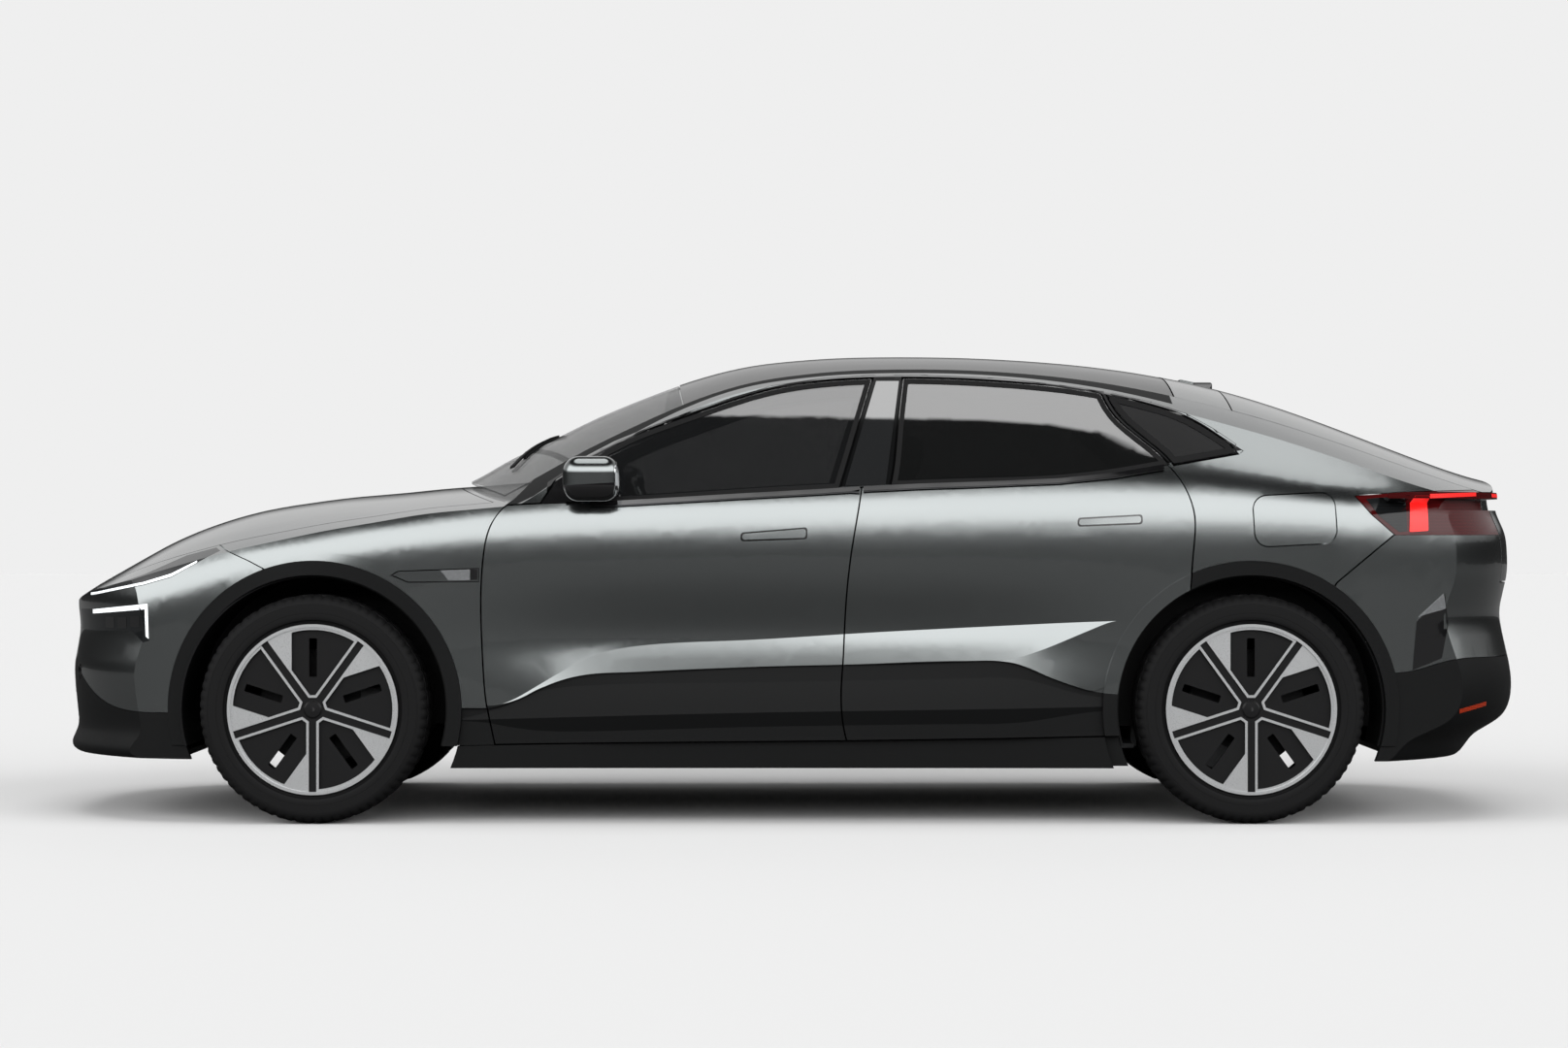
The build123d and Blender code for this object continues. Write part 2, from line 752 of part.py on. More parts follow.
tow_socket = (-2340, -520, 470)
tow_thread_radius = 9
tow_boss_radius = 22
tow_boss_length = 60


def tow_socket_space():
    """The opening in the bumper's skin in front of the towing eye's socket."""
    x, y, z = float(along(tow_socket[0])), across(tow_socket[1]), up(tow_socket[2])
    return Pos(x, y, z) * Rot(0, 90, 0) * Cylinder(tow_boss_radius + 4, 400)


def front_bumper_lower(shell):
    face = side_panel(level(-2700), level(-1500), level(205), shifted(painted_edge, -1))
    lower = shell & full_prism(face) & full_prism(side_polygon(*front_split))
    lower += drawn_box(-2330, -1960, -700, 700, 206, 224) & behind_nose(20)
    lower -= tow_socket_space()
    for ring in (arch_ring_left(front_axle_x, 1), front_well()):
        lower = lower - ring - right_of(ring)
    return largest(lower)


def rear_corner_shell(thickness=panel_thickness):
    outer = inside_sides(0) & under_roof(0) & ahead_of_tail(0)
    inner = inside_sides(thickness) & under_roof(thickness) & ahead_of_tail(thickness)
    return outer - inner


rear_painted_edge = spline((1500, 468), (1600, 470), (1908, 482), (1993, 490), (2105, 520),
                           (2289, 528), (2420, 530), (2800, 534))


def rear_bumper(shell):
    bumper = shell & full_prism(side_polygon(*rear_split))
    bumper -= full_prism(side_panel(level(1500), level(2750), level(60),
                                    shifted(rear_painted_edge, 1), count=21))
    bumper -= drawn_box(2000, 2700, -tailgate_half, tailgate_half, tailgate_low - shut_gap, 1200)
    for ring in (arch_ring_left(rear_axle_x, 1), rear_well()):
        bumper = bumper - ring - right_of(ring)
    return largest(bumper)


def rear_bumper_lower(shell):
    lower = shell & full_prism(side_panel(level(1500), level(2750), level(201),
                                          shifted(rear_painted_edge, -1), count=21))
    lower += drawn_box(1960, 2120, -760, 760, 203, 221) & ahead_of_tail(10)
    for ring in (arch_ring_left(rear_axle_x, 1), rear_well()):
        lower = lower - ring - right_of(ring)
    return largest(lower)


def tail_lamps(shell):
    """Red corner lamps beside the tailgate, with the ends of the light bar."""
    space = full_prism(side_polygon(*moved(lamp_corner, 0, -1))) - drawn_box(
        1700, 2700, -tailgate_half - shut_gap, tailgate_half + shut_gap, 800, 1200)
    lamps = (shell & space) - lamp_recess() + (lamp_bar() & space)
    return Compound(children=[lamp for lamp in lamps.solids() if lamp.volume > 20000])


# Side frame ------------------------------------------------------------------------------
def side_frame_face():
    return side_polygon(
        (-1060, sill_low), (1905, sill_low), (1905, 500), (2500, 900), (2500, 1600),
        (-905, 1600), (-975, 1050), (-1060, 800))


charge_flap_middle = (1614, 974)
charge_flap_size = (260, 160)
charge_flap_corner = 43
charge_flap_tilt = 3
charge_flap_depth = 12
charge_pocket_depth = 62


def charge_flap_face(grow=0):
    wide, high = charge_flap_size
    outline = RectangleRounded(wide + 2 * grow, high + 2 * grow, charge_flap_corner + grow)
    x, z = charge_flap_middle
    return Pos(float(along(x)), 0, up(z)) * Rot(90, 0, 0) * Rot(0, 0, charge_flap_tilt) * outline


def charge_flap():
    layer = extrude(side_surface(0), amount=charge_flap_depth, dir=(0, 1, 0))
    return layer & left_prism(charge_flap_face())


sill_pocket_rise = 8        # how far the cover's pocket goes above the cover


def sill_face(grow=0, rise=0):
    return side_panel(level(-1250), level(1200), level(sill_low - 6 - grow),
                      shifted(door_bottom, rise - shut_gap), count=21)


def side_frame_left():
    frame = inside_left(0) & under_roof(0)
    frame = frame & left_prism(side_frame_face(), inner=300) & ahead_of_tail(0)
    frame -= extrude(wall_surface(), amount=REACH, dir=(0, 1, 0)) & under_roof(pillar_depth - 20)
    frame -= tall_prism(plan_panel(roof_edge, -1200, 2600), high=1900) & drawn_box(
        -1300, 2600, -1100, 1100, 700, 1900)
    pocket = inside_left(-40, 40 + door_thickness + shut_gap)
    frame -= pocket & left_prism(front_door_face(shut_gap))
    frame -= pocket & left_prism(rear_door_face(shut_gap))
    for face in (front_door_face, rear_door_face):
        frame -= left_prism(face(-door_step - 20))
    glass_pocket = inside_left(-40, 40 + glass_inset + glass_thickness + shut_gap)
    for face in (front_light_face, rear_glass_face, quarter_glass_face):
        frame -= glass_pocket & left_prism(face(glass_gap))
        frame -= left_prism(face(-seal_land))
    cover = inside_left(-40, 40 + panel_thickness + 3)
    frame -= cover & left_prism(wing_face(6))
    frame -= left_prism(wing_face(6)) - under_bonnet(panel_thickness + 3)
    frame -= tall_prism(bonnet_plan(shut_gap), low=700)
    frame -= inside_left(-40, 40 + sill_cover[1] + 2) & left_prism(
        sill_face(20, sill_pocket_rise))
    frame -= inside_left(-40, 40 + wing_lower_depth) & left_prism(wing_lower_face(3))
    frame -= full_prism(side_polygon(*moved(rear_split, -5, 2)))
    for rise in (1, -2):
        frame -= full_prism(side_polygon(*moved(lamp_corner, -3, rise)))
    frame -= arch_ring_left(rear_axle_x, 1)
    frame -= rear_well()
    frame -= inside_left(-40, 40 + charge_pocket_depth) & left_prism(charge_flap_face(4))
    return largest(frame) + [jacking_pad(x) for x in jacking_pads]


jacking_pads = (-860, 920)
jacking_pad_middle = 870    # centreline of the car to the middle of a pad
jacking_pad_size = (110, 60)
jacking_pad_depth = 10


def jacking_pad(x):
    """A pad under the left sill that a jack lifts the car by."""
    height = jacking_pad_depth + 8
    return Pos(float(along(x)), -across(jacking_pad_middle),
               up(sill_low) - jacking_pad_depth + height / 2) * Box(*jacking_pad_size, height)


wing_lower_depth = 95       # of the room for the dark panel between wheel and door


def wing_lower_face(grow=0):
    return side_panel(level(-1300), shifted(front_door_front, -shut_gap),
                      shifted(door_bottom, -shut_gap + 2), level(wing_skin_low - 2), grow)


def wing_lower_left(lower):
    """Dark panel between the front wheel and the door, below the painted wing."""
    return largest((lower & left_prism(wing_lower_face())) - arch_ring_left(front_axle_x, 1)
                   - front_well())


def body_cladding(lower):
    """Dark trim on the body: wheel arch rings, the panels ahead of the doors and sills."""
    front_ring = arch_ring_left(front_axle_x)
    rear_ring = arch_ring_left(rear_axle_x) - left_prism(rear_door_face(shut_gap))
    rear_ring = max(rear_ring.solids(), key=lambda solid: solid.volume)
    sill = side_slab(*sill_cover) & left_prism(sill_face())
    for axle_x in (front_axle_x, rear_axle_x):
        sill -= wheel_cylinder(axle_x, arch_radius + arch_trim + 2, front_well_inner, HALF)
    pieces = [front_ring.solid(), rear_ring, wing_lower_left(lower), largest(sill)]
    return Compound(children=pieces + [right_of(piece) for piece in pieces])


liner_wall_low = 300        # the liners' inner walls end at this height
shaft_notch = (150, 160)    # length and height of the notch in them at the wheels' centres


def wheel_arch_liners():
    """Thin half drums over the wheels, with inner walls notched for the drive shafts."""
    liners = []
    above = drawn_box(-2600, 2600, -HALF, 0, arch_trim_low, 1300)
    below_wall = drawn_box(-2600, 2600, -HALF, 0, 0, liner_wall_low)
    radius = arch_radius - 1
    for axle_x, inner in ((front_axle_x, front_well_inner), (rear_axle_x, rear_well_inner)):
        drum = wheel_cylinder(axle_x, radius, inner + 4, liner_outer)
        core = wheel_cylinder(axle_x, radius - liner_thickness, inner - 4, liner_outer + 4)
        drum -= wheel_cylinder(axle_x, radius - liner_thickness, inner + 4 + liner_thickness,
                               liner_outer + 4)
        drum -= core & below_wall
        drum -= Pos(axle_x, -inner, hub_height) * Box(shaft_notch[0], 60, shaft_notch[1])
        liners.append((drum & above).solid())
    return Compound(children=liners + [right_of(liner) for liner in liners])


# Under the body ----------------------------------------------------------------------------
floor_low = 232
floor_thickness = 14
cabin_half = 760


def floor_pan():
    """Floor, bulkheads and boot floor as one pressed shell, and the front boot's tub."""
    floor = drawn_box(-1060, 1120, -cabin_half, cabin_half, floor_low,
                      floor_low + floor_thickness)
    bulkhead = drawn_box(-1080, -1060, -500, 500, floor_low, 990)
    cowl = drawn_box(-1120, -990, -690, 690, 975, 990)
    heel = drawn_box(1120, 1138, -650, 650, floor_low, 600)
    boot = drawn_box(1120, 2240, -650, 650, 586, 600)
    back = drawn_box(2240, 2256, -650, 650, 340, 740)
    shell = floor + bulkhead + cowl + heel + boot + back
    tub = drawn_box(-1950, -1190, -420, 420, 600, 860)
    tub -= drawn_box(-1940, -1200, -410, 410, 610, 870)
    return Compound(children=[shell.solid(), tub.solid()])


def battery_pack():
    return drawn_box(-940, 940, -700, 700, 172, floor_low - 2)


arm_thickness = 28
lower_joint_height = 250
lower_joint_radius = 69     # of the knuckle's foot, about the kingpin
lower_joint_gap = 5


def front_subframe():
    """Rails, cross members, drive unit, lower arms and the socket of the towing eye."""
    rails = drawn_box(-2200, -1090, -420, -340, 380, 460)
    rails += right_of(rails)
    beam_half = (front_well_inner - 10) / across(1)
    for x in (-2200, -1740, -1170):
        rails += drawn_box(x, x + 90, -beam_half, beam_half, 390, 450)
    rails += drawn_box(-1640, -1380, -240, 240, 300, 560)
    rails += drawn_box(-1650, -1380, -345, 345, 390, 440)
    inner, outer = across(340), kingpin_outset
    arm = Pos(front_axle_x, -(inner + outer) / 2, lower_joint_height) * Box(
        70, outer - inner, arm_thickness)
    arm -= Pos(front_axle_x, -kingpin_outset, lower_joint_height) * Cylinder(
        lower_joint_radius + lower_joint_gap, 2 * arm_thickness)
    hanger = Pos(front_axle_x, -inner - 20, (lower_joint_height + up(400)) / 2) * Box(
        70, 40, up(400) - lower_joint_height + 20)
    rails += arm + hanger + right_of(arm + hanger)
    x, y, z = float(along(tow_socket[0])), across(tow_socket[1]), up(tow_socket[2])
    start = float(along(-2200))
    boss = Pos((x + start) / 2, y, z) * Rot(0, 90, 0) * Cylinder(tow_boss_radius, start - x)
    stand = Pos(start + 30, y, z - 30) * Box(60, 2 * tow_boss_radius, 90)
    thread = Pos(x, y, z) * Rot(0, 90, 0) * Cylinder(tow_thread_radius, 2 * tow_boss_length)
    return rails + boss + stand - thread


def rear_axle():
    """Subframe, drive unit block and the arms that carry the rear wheels."""
    rails = drawn_box(1200, 1760, -470, -390, 300, 380)
    rails += right_of(rails)
    for x in (1200, 1660):
        rails += drawn_box(x, x + 90, -470, 470, 310, 370)
    rails += drawn_box(1290, 1660, -260, 260, 250, 520)
    inner, outer = across(430), wheel_outset - 92
    arm = Pos(rear_axle_x, -(inner + outer) / 2, hub_height) * Box(90, outer - inner, 60)
    stub = hub_spindle(rear_axle_x)
    caliper = brake_caliper(rear_axle_x, 115)
    return rails + arm + stub + caliper + right_of(arm + stub + caliper)


# Wheels -----------------------------------------------------------------------------------
spoke_count = 5
spoke_channel = 24          # width of the groove along each spoke
frame_width = 8             # bright edge round each sector of the wheel's face
hub_corner = 38             # centre of the wheel to the inner corner of a sector
face_radius = 263           # of the spoked face, inside the rim's lip
face_back = 34              # depth of the face's back, groove, panel and edge below the rim
face_groove = 15
face_panel = 22
face_edge = 8
blade_offset = 67           # sector's middle line to the edge of its bright blade
slot_width = 25
slot_inner = 104
slot_outer = 228
spindle_clearance = 0.5
hub_face = 22               # wheel's mounting face, outboard of the tyre's middle
disc_in = -42               # inboard face of the brake disc, from the tyre's middle


def revolve_section(points, axle_x):
    """A section of (radius, outward) points turned about the axle of the left wheel."""
    corners = [(axle_x, -wheel_outset - out, hub_height + r) for r, out in points]
    face = Face(Wire([Edge.make_line(a, b) for a, b in zip(corners, corners[1:] + corners[:1])]))
    return revolve(face, Axis((axle_x, 0, hub_height), (0, 1, 0)), 360)


def tyre_left(axle_x):
    half = tyre_width / 2
    low = rim_radius - 8
    wall = tyre_radius - rim_radius
    right = [(low, half - 20), (rim_radius + 0.02 * wall, half - 18),
             (rim_radius + 0.15 * wall, half - 3), (rim_radius + 0.36 * wall, half),
             (rim_radius + 0.64 * wall, half - 4), (rim_radius + 0.81 * wall, half - 12),
             (rim_radius + 0.94 * wall, half - 30), (tyre_radius, half - 58)]
    left = [(radius, -out) for radius, out in reversed(right)]
    return revolve_section(right + left, axle_x)


def on_left_wheel(axle_x, sketch, inner, outer):
    """A sketch, drawn as seen from the left, raised from inner to outer along the axle."""
    block = extrude(Pos(0, 0, inner) * sketch, amount=outer - inner)
    return Pos(axle_x, -wheel_outset, hub_height) * Rot(90, 0, 0) * block


def wheel_sector():
    """One sector of the face, about the upright, between two spoke grooves."""
    half_angle = radians(180 / spoke_count)
    apex = spoke_channel / 2 / sin(half_angle)
    reach = 400
    side_x, side_y = reach * sin(half_angle), apex + reach * cos(half_angle)
    wedge = Polygon((0, apex), (side_x, side_y), (-side_x, side_y), align=None)
    return (wedge & Circle(face_radius)) & Pos(0, hub_corner + 500) * Rectangle(1000, 1000)


def wheel_left(axle_x):
    """Rim, hub, face with grooved spokes, panels with slots, blades and brake disc."""
    half = tyre_width / 2
    outer, inner = rim_radius - 9, rim_radius - 9 - rim_wall
    wheel = revolve_section(
        [(outer, 15 - half), (rim_radius, 13 - half), (rim_radius, 3 - half),
         (inner, 3 - half), (inner, half - 30), (face_radius, half - 12),
         (face_radius, half - 3), (rim_radius, half - 3), (rim_radius, half - 13),
         (outer, half - 15)], axle_x)
    sector = wheel_sector()
    face = Circle(face_radius)
    slot = Pos(0, (slot_inner + slot_outer) / 2) * RectangleRounded(
        slot_width, slot_outer - slot_inner, 4)
    raised = face
    edges, slots = [], []
    for i in range(spoke_count):
        turn = Rot(0, 0, i * 360 / spoke_count)
        raised -= turn * sector
        blade = sector & Pos(-blade_offset - 250, 200) * Rectangle(500, 600)
        edges.append(turn * (sector - offset(sector, -frame_width) + blade))
        slots.append(turn * slot)
    wheel += on_left_wheel(axle_x, face, half - face_back, half - face_panel)
    wheel += on_left_wheel(axle_x, raised, half - face_back, half - face_groove)
    for edge in edges:
        wheel += on_left_wheel(axle_x, edge, half - face_back, half - face_edge)
    for slot in slots:
        wheel -= on_left_wheel(axle_x, slot, 0, half + 10)
    hub = revolve_section(
        [(centre_bore_radius, hub_face), (84, hub_face), (76, half - face_back),
         (centre_bore_radius, half - face_back)], axle_x)
    cap = revolve_section([(0, half - face_back), (29, half - face_back), (29, half - 12),
                           (24, half - 9), (0, half - 8)], axle_x)
    disc = revolve_section([(62, disc_in), (disc_radius, disc_in),
                            (disc_radius, disc_in + disc_thickness),
                            (84, disc_in + disc_thickness), (84, hub_face + 1),
                            (62, hub_face + 1)], axle_x)
    wheel += hub + cap + disc
    for i in range(wheel_bolts):
        angle = radians(90 + i * 360 / wheel_bolts)
        x = axle_x + bolt_circle_radius * cos(angle)
        z = hub_height + bolt_circle_radius * sin(angle)
        bolt = Pos(x, -wheel_outset - hub_face, z) * Rot(90, 0, 0) * Cylinder(
            bolt_hole_radius, 2 * (half - face_back - hub_face - 12))
        wheel -= bolt
    return wheel


def hub_spindle(axle_x):
    """The bearing spindle that turns in the wheel's centre bore."""
    outer = tyre_width / 2 - face_back - 6
    inner = disc_in - 50
    return Pos(axle_x, -wheel_outset - (outer + inner) / 2, hub_height) * Rot(
        90, 0, 0) * Cylinder(centre_bore_radius - spindle_clearance, outer - inner)


shield_in = -62             # inboard face of the disc's dust shield, from the tyre's middle
shield_thickness = 6


def brake_caliper(axle_x, angle):
    """Dust shield, and the block that bridges the disc at an angle from straight ahead."""
    middle = disc_in + disc_thickness / 2
    block = Box(80, disc_thickness + 46, 130) - Pos(-18, 0, 0) * Box(80, disc_thickness + 10, 150)
    block = Pos(axle_x, -wheel_outset - middle, hub_height) * Rot(0, angle, 0) * Pos(
        disc_radius - 6, 0, 0) * block
    shield = revolve_section(
        [(0, shield_in), (disc_radius - 18, shield_in),
         (disc_radius - 18, shield_in + shield_thickness), (0, shield_in + shield_thickness)],
        axle_x)
    return block + shield


def knuckle_left():
    """Upright on the kingpin's line, with spindle, caliper, steering arm and strut foot."""
    y = -wheel_outset - disc_in + 24
    upright = Pos(front_axle_x, y, hub_height) * Box(110, 28, 250)
    foot = Pos(front_axle_x, -kingpin_outset, lower_joint_height) * Cylinder(
        lower_joint_radius, 34)
    foot &= Pos(front_axle_x, y + 40, lower_joint_height) * Box(70, 80, 40)
    arm = Pos(front_axle_x + 90, y + 10, hub_height - 60) * Box(130, 24, 36)
    return upright + foot + arm + hub_spindle(front_axle_x) + brake_caliper(
        front_axle_x, 0)


# Cabin -----------------------------------------------------------------------------------
def dashboard():
    board = drawn_box(-1040, -560, -690, 690, 760, 960)
    board = fillet(board.edges().filter_by(Axis.Y), 60)
    return board - steering_place() * Pos(0, 0, -column_length / 2) * Cylinder(
        column_radius + 6, column_length + 20)


def centre_console():
    block = drawn_box(-700, 420, -150, 150, floor_low + floor_thickness, 600)
    return fillet(block.edges().filter_by(Axis.Z), 40)


seat_offset = 400


def front_seats():
    cushion = drawn_box(-300, 220, -250, 250, 330, 520)
    back = Pos(float(along(300)), 0, up(800)) * Rot(0, 18, 0) * Box(120, across(480), up(600))
    head = Pos(float(along(400)), 0, up(1180)) * Rot(0, 12, 0) * Box(90, 250, 170)
    seat = cushion + back + head
    return Pos(0, -seat_offset, 0) * seat + Pos(0, seat_offset, 0) * seat


def rear_seat():
    cushion = drawn_box(620, 1040, -620, 620, 330, 540)
    back = Pos(float(along(1100)), 0, up(790)) * Rot(0, 22, 0) * Box(110, across(1220), up(600))
    return cushion + back


wheel_rake = 25
steering_centre = (-440, -seat_offset, 940)
steering_radius = 182


column_length = 200
column_radius = 26


def steering_place():
    """The steering wheel's centre, with its axle along local Z, towards the driver."""
    x, y, z = float(along(steering_centre[0])), steering_centre[1], up(steering_centre[2])
    return Pos(x, y, z) * Rot(0, 90 - wheel_rake, 0)


def steering_wheel():
    ring = Torus(steering_radius, 14)
    spokes = Box(34, 2 * steering_radius, 16) + Pos(steering_radius / 2, 0, 0) * Box(
        steering_radius, 50, 16)
    boss = Cylinder(58, 46)
    column = Pos(0, 0, -column_length / 2) * Cylinder(column_radius, column_length)
    return steering_place() * (ring + spokes + boss + column)


def write_pair(piece, name):
    """Writes a left piece and its mirror image."""
    write(piece, name + "_left")
    write(right_of(piece), name + "_right")


def write_body(lower):
    write_pair(side_frame_left(), "side_frame")
    write(both_sides(side_glass_left(quarter_glass_face)), "quarter_glass")
    write(windscreen(), "windscreen")
    write(roof_glass(), "roof_glass")
    write(roof_frame(), "roof_frame")
    write(body_cladding(lower), "body_cladding")
    write(wheel_arch_liners(), "wheel_arch_liners")
    shell = front_corner_shell()
    write_pair(front_wing_left(shell), "front_wing")
    write(front_bumper(shell), "front_bumper")
    write(front_bumper_lower(shell), "front_bumper_lower")
    write(headlamps(shell), "headlamps")
    shell = rear_corner_shell()
    write(rear_bumper(shell), "rear_bumper")
    write(rear_bumper_lower(shell), "rear_bumper_lower")
    write(tail_lamps(shell), "tail_lamps")
    write(floor_pan(), "floor_pan")
    write(battery_pack(), "battery_pack")
    write(front_subframe(), "front_subframe")
    write(rear_axle(), "rear_axle")


def write_openings(lower):
    layer = door_layer(lower)
    for name, face, glass in (("front_door", front_door_face, front_glass_face),
                              ("rear_door", rear_door_face, rear_glass_face)):
        write_pair(door_left(face, layer), name)
        write_pair(side_glass_left(glass), name + "_glass")
    write_pair(door_mirror_left(), "door_mirror")
    write(bonnet(), "bonnet")
    write(charge_flap(), "charge_flap")
    write(tailgate(), "tailgate")
    write(tailgate_light_bar(), "tailgate_light_bar")


def write_wheels():
    for name, axle_x in (("front", front_axle_x), ("rear", rear_axle_x)):
        write_pair(tyre_left(axle_x), name + "_tyre")
        write_pair(wheel_left(axle_x), name + "_wheel")
    write_pair(knuckle_left(), "front_knuckle")


def write_cabin():
    write(dashboard(), "dashboard")
    write(centre_console(), "centre_console")
    write(front_seats(), "front_seats")
    write(rear_seat(), "rear_seat")
    write(steering_wheel(), "steering_wheel")


write_wheels()
write_cabin()
lower_panels = lower_side()
write_openings(lower_panels)
write_body(lower_panels)
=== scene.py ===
import bpy
import bmesh
from math import atan2, cos, pi, radians, sin
from mathutils import Matrix, Vector
from mathutils.bvhtree import BVHTree


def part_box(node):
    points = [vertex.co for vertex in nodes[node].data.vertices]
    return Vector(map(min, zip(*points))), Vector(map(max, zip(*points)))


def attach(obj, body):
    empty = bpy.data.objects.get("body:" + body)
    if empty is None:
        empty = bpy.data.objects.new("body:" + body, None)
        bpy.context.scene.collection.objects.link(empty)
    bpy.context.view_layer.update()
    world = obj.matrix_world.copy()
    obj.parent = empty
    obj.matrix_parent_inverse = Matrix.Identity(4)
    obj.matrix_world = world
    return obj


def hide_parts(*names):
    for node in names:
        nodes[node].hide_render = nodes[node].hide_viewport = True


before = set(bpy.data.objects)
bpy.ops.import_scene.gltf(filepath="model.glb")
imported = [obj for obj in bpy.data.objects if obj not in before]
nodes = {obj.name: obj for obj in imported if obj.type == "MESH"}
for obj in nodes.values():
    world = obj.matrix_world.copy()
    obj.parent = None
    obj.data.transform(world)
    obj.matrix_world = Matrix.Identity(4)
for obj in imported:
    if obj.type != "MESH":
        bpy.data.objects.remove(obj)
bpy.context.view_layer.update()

# %% [markdown]
# A car is mostly one smooth painted skin, so nearly all of its look comes from how that
# skin mirrors the studio. The skin itself is the imported CAD model. This lesson gives each
# panel its finish, then adds what is too small for the CAD: tread, seams, handles, lamps,
# seals and upholstery.


# %% [markdown]
# The camera stands level with the middle of the doors, thirteen metres away. A long lens
# from far off keeps the wheels nearly the same size at both ends of the car.

# %% Camera
CAMERA_PLACE = (-0.018, -13.0, 0.960)
FOCAL_LENGTH = 86.4

camera_data = bpy.data.cameras.new("camera")
camera_data.lens = FOCAL_LENGTH
camera_data.sensor_width = 36
camera = bpy.data.objects.new("camera", camera_data)
camera.location = CAMERA_PLACE
camera.rotation_euler = (radians(90), 0, 0)
bpy.context.scene.collection.objects.link(camera)
bpy.context.scene.camera = camera
bpy.context.scene.view_settings.view_transform = "Standard"
print("camera at", CAMERA_PLACE, "lens", FOCAL_LENGTH)


# %% [markdown]
# Materials are graphs of small nodes. Two helpers keep them readable. The first, `Value`,
# wraps a node's output socket, so that ordinary arithmetic on it adds Math nodes.

# %% A socket that can do arithmetic
class Value:
    """An output socket that Python operators turn into Math nodes."""

    def __init__(self, finish, socket):
        self.finish = finish
        self.socket = socket

    def math(self, operation, *others, clamp=False):
        settings = {"operation": operation, "use_clamp": clamp}
        return self.finish.node("ShaderNodeMath", settings, self, *others)

    def __add__(self, other):
        return self.math("ADD", other)

    def __sub__(self, other):
        return self.math("SUBTRACT", other)

    def __rsub__(self, other):
        return self.finish.node("ShaderNodeMath", {"operation": "SUBTRACT"}, other, self)

    def __mul__(self, other):
        return self.math("MULTIPLY", other)

    def __truediv__(self, other):
        return self.math("DIVIDE", other)

    __radd__ = __add__
    __rmul__ = __mul__

    def above(self, level, softness=0.001):
        """1 where the value is over a level, with a soft edge."""
        share = (self - (level - softness / 2)) / softness
        return share.math("MAXIMUM", 0.0).math("MINIMUM", 1.0)

    def below(self, level, softness=0.001):
        """1 where the value is under a level."""
        return 1.0 - self.above(level, softness)

    def size(self):
        """The value without its sign."""
        return self.math("ABSOLUTE")


# %% [markdown]
# The second helper, `Finish`, holds a material's tree. Its method `node` adds any node: the
# settings are set first, then the inputs are filled from numbers, colours or links. Its
# other methods are short forms of that one for the nodes that are used most.

# %% A material with one node-making method
class Finish:
    """A node tree under construction."""

    def __init__(self, tree):
        self.tree = tree
        tree.nodes.clear()

    def node(self, kind, settings=None, *values, out=0, **named):
        """Adds a node. A value of None leaves that input as it is."""
        item = self.tree.nodes.new(kind)
        for key, setting in (settings or {}).items():
            if key == "points":
                self.fill_curve(item.mapping, setting)
            else:
                setattr(item, key, setting)
        inputs = [(key, value) for key, value in enumerate(values) if value is not None]
        inputs += [(name.replace("_", " "), value) for name, value in named.items()]
        for key, value in inputs:
            socket = item.inputs[key]
            if isinstance(value, Value):
                self.tree.links.new(value.socket, socket)
            else:
                socket.default_value = value
        if not item.outputs:
            return None
        return Value(self, item.outputs[out])

    def fill_curve(self, mapping, points):
        curve = mapping.curves[0]
        curve.points[0].location = points[0]
        curve.points[-1].location = points[-1]
        for point in points[1:-1]:
            curve.points.new(*point)
        mapping.update()

    def mix(self, factor, first, second):
        """A colour between two, by a factor. The colours are the node's inputs 6 and 7."""
        unused = [None] * 5
        return self.node("ShaderNodeMix", {"data_type": "RGBA"}, factor, *unused, first, second,
                         out=2)

    def place(self, kind="Object"):
        """Where a point is, in Object or other coordinates."""
        return self.node("ShaderNodeTexCoord", out=kind)

    def xyz(self, kind="Object"):
        """The three coordinates as values."""
        split = self.node("ShaderNodeSeparateXYZ", None, self.place(kind))
        return [Value(self, socket) for socket in split.socket.node.outputs]

    def noise(self, scale, detail=2.0):
        return self.node("ShaderNodeTexNoise", Vector=self.place(), Scale=scale, Detail=detail,
                         Roughness=0.5)

    def bump(self, height, strength, distance):
        return self.node("ShaderNodeBump", Height=height, Strength=strength, Distance=distance)

    def surface(self, **named):
        return self.node("ShaderNodeBsdfPrincipled", **named)

    def wave(self, place, scale):
        """Even ripples from 0 to 1 along one coordinate."""
        return (place * scale).math("SINE") * 0.5 + 0.5


def colour(red, green=None, blue=None):
    """A linear RGBA colour from 0-255 display numbers."""
    def linear(v):
        v = v / 255
        return v / 12.92 if v <= 0.04045 else ((v + 0.055) / 1.055) ** 2.4

    green = red if green is None else green
    blue = red if blue is None else blue
    return (linear(red), linear(green), linear(blue), 1.0)


def material(name, make):
    """A new material whose surface is what make(finish) returns."""
    made = bpy.data.materials.new(name)
    made.use_nodes = True
    finish = Finish(made.node_tree)
    finish.node("ShaderNodeOutputMaterial", None, make(finish))
    return made


def dress(node, finish):
    """Gives a CAD node or an object one material."""
    item = nodes[node] if isinstance(node, str) else node
    item.data.materials.clear()
    item.data.materials.append(finish)


print("a mid grey in linear light is", round(colour(128)[0], 3))


# %% [markdown]
# The floor is a wide pale sheet, which looks dark to every ray but the camera's own. So the
# flanks mirror a dark ground, as they do in a studio, while the floor behind stays pale.

# %% Floor
FLOOR_SIZE = 60.0
PALE_FLOOR = colour(227)
DARK_FLOOR = colour(74)

floor_mesh = bmesh.new()
bmesh.ops.create_grid(floor_mesh, x_segments=2, y_segments=2, size=FLOOR_SIZE)
floor_data = bpy.data.meshes.new("floor")
floor_mesh.to_mesh(floor_data)
floor_mesh.free()
floor = bpy.data.objects.new("floor", floor_data)
bpy.context.scene.collection.objects.link(floor)


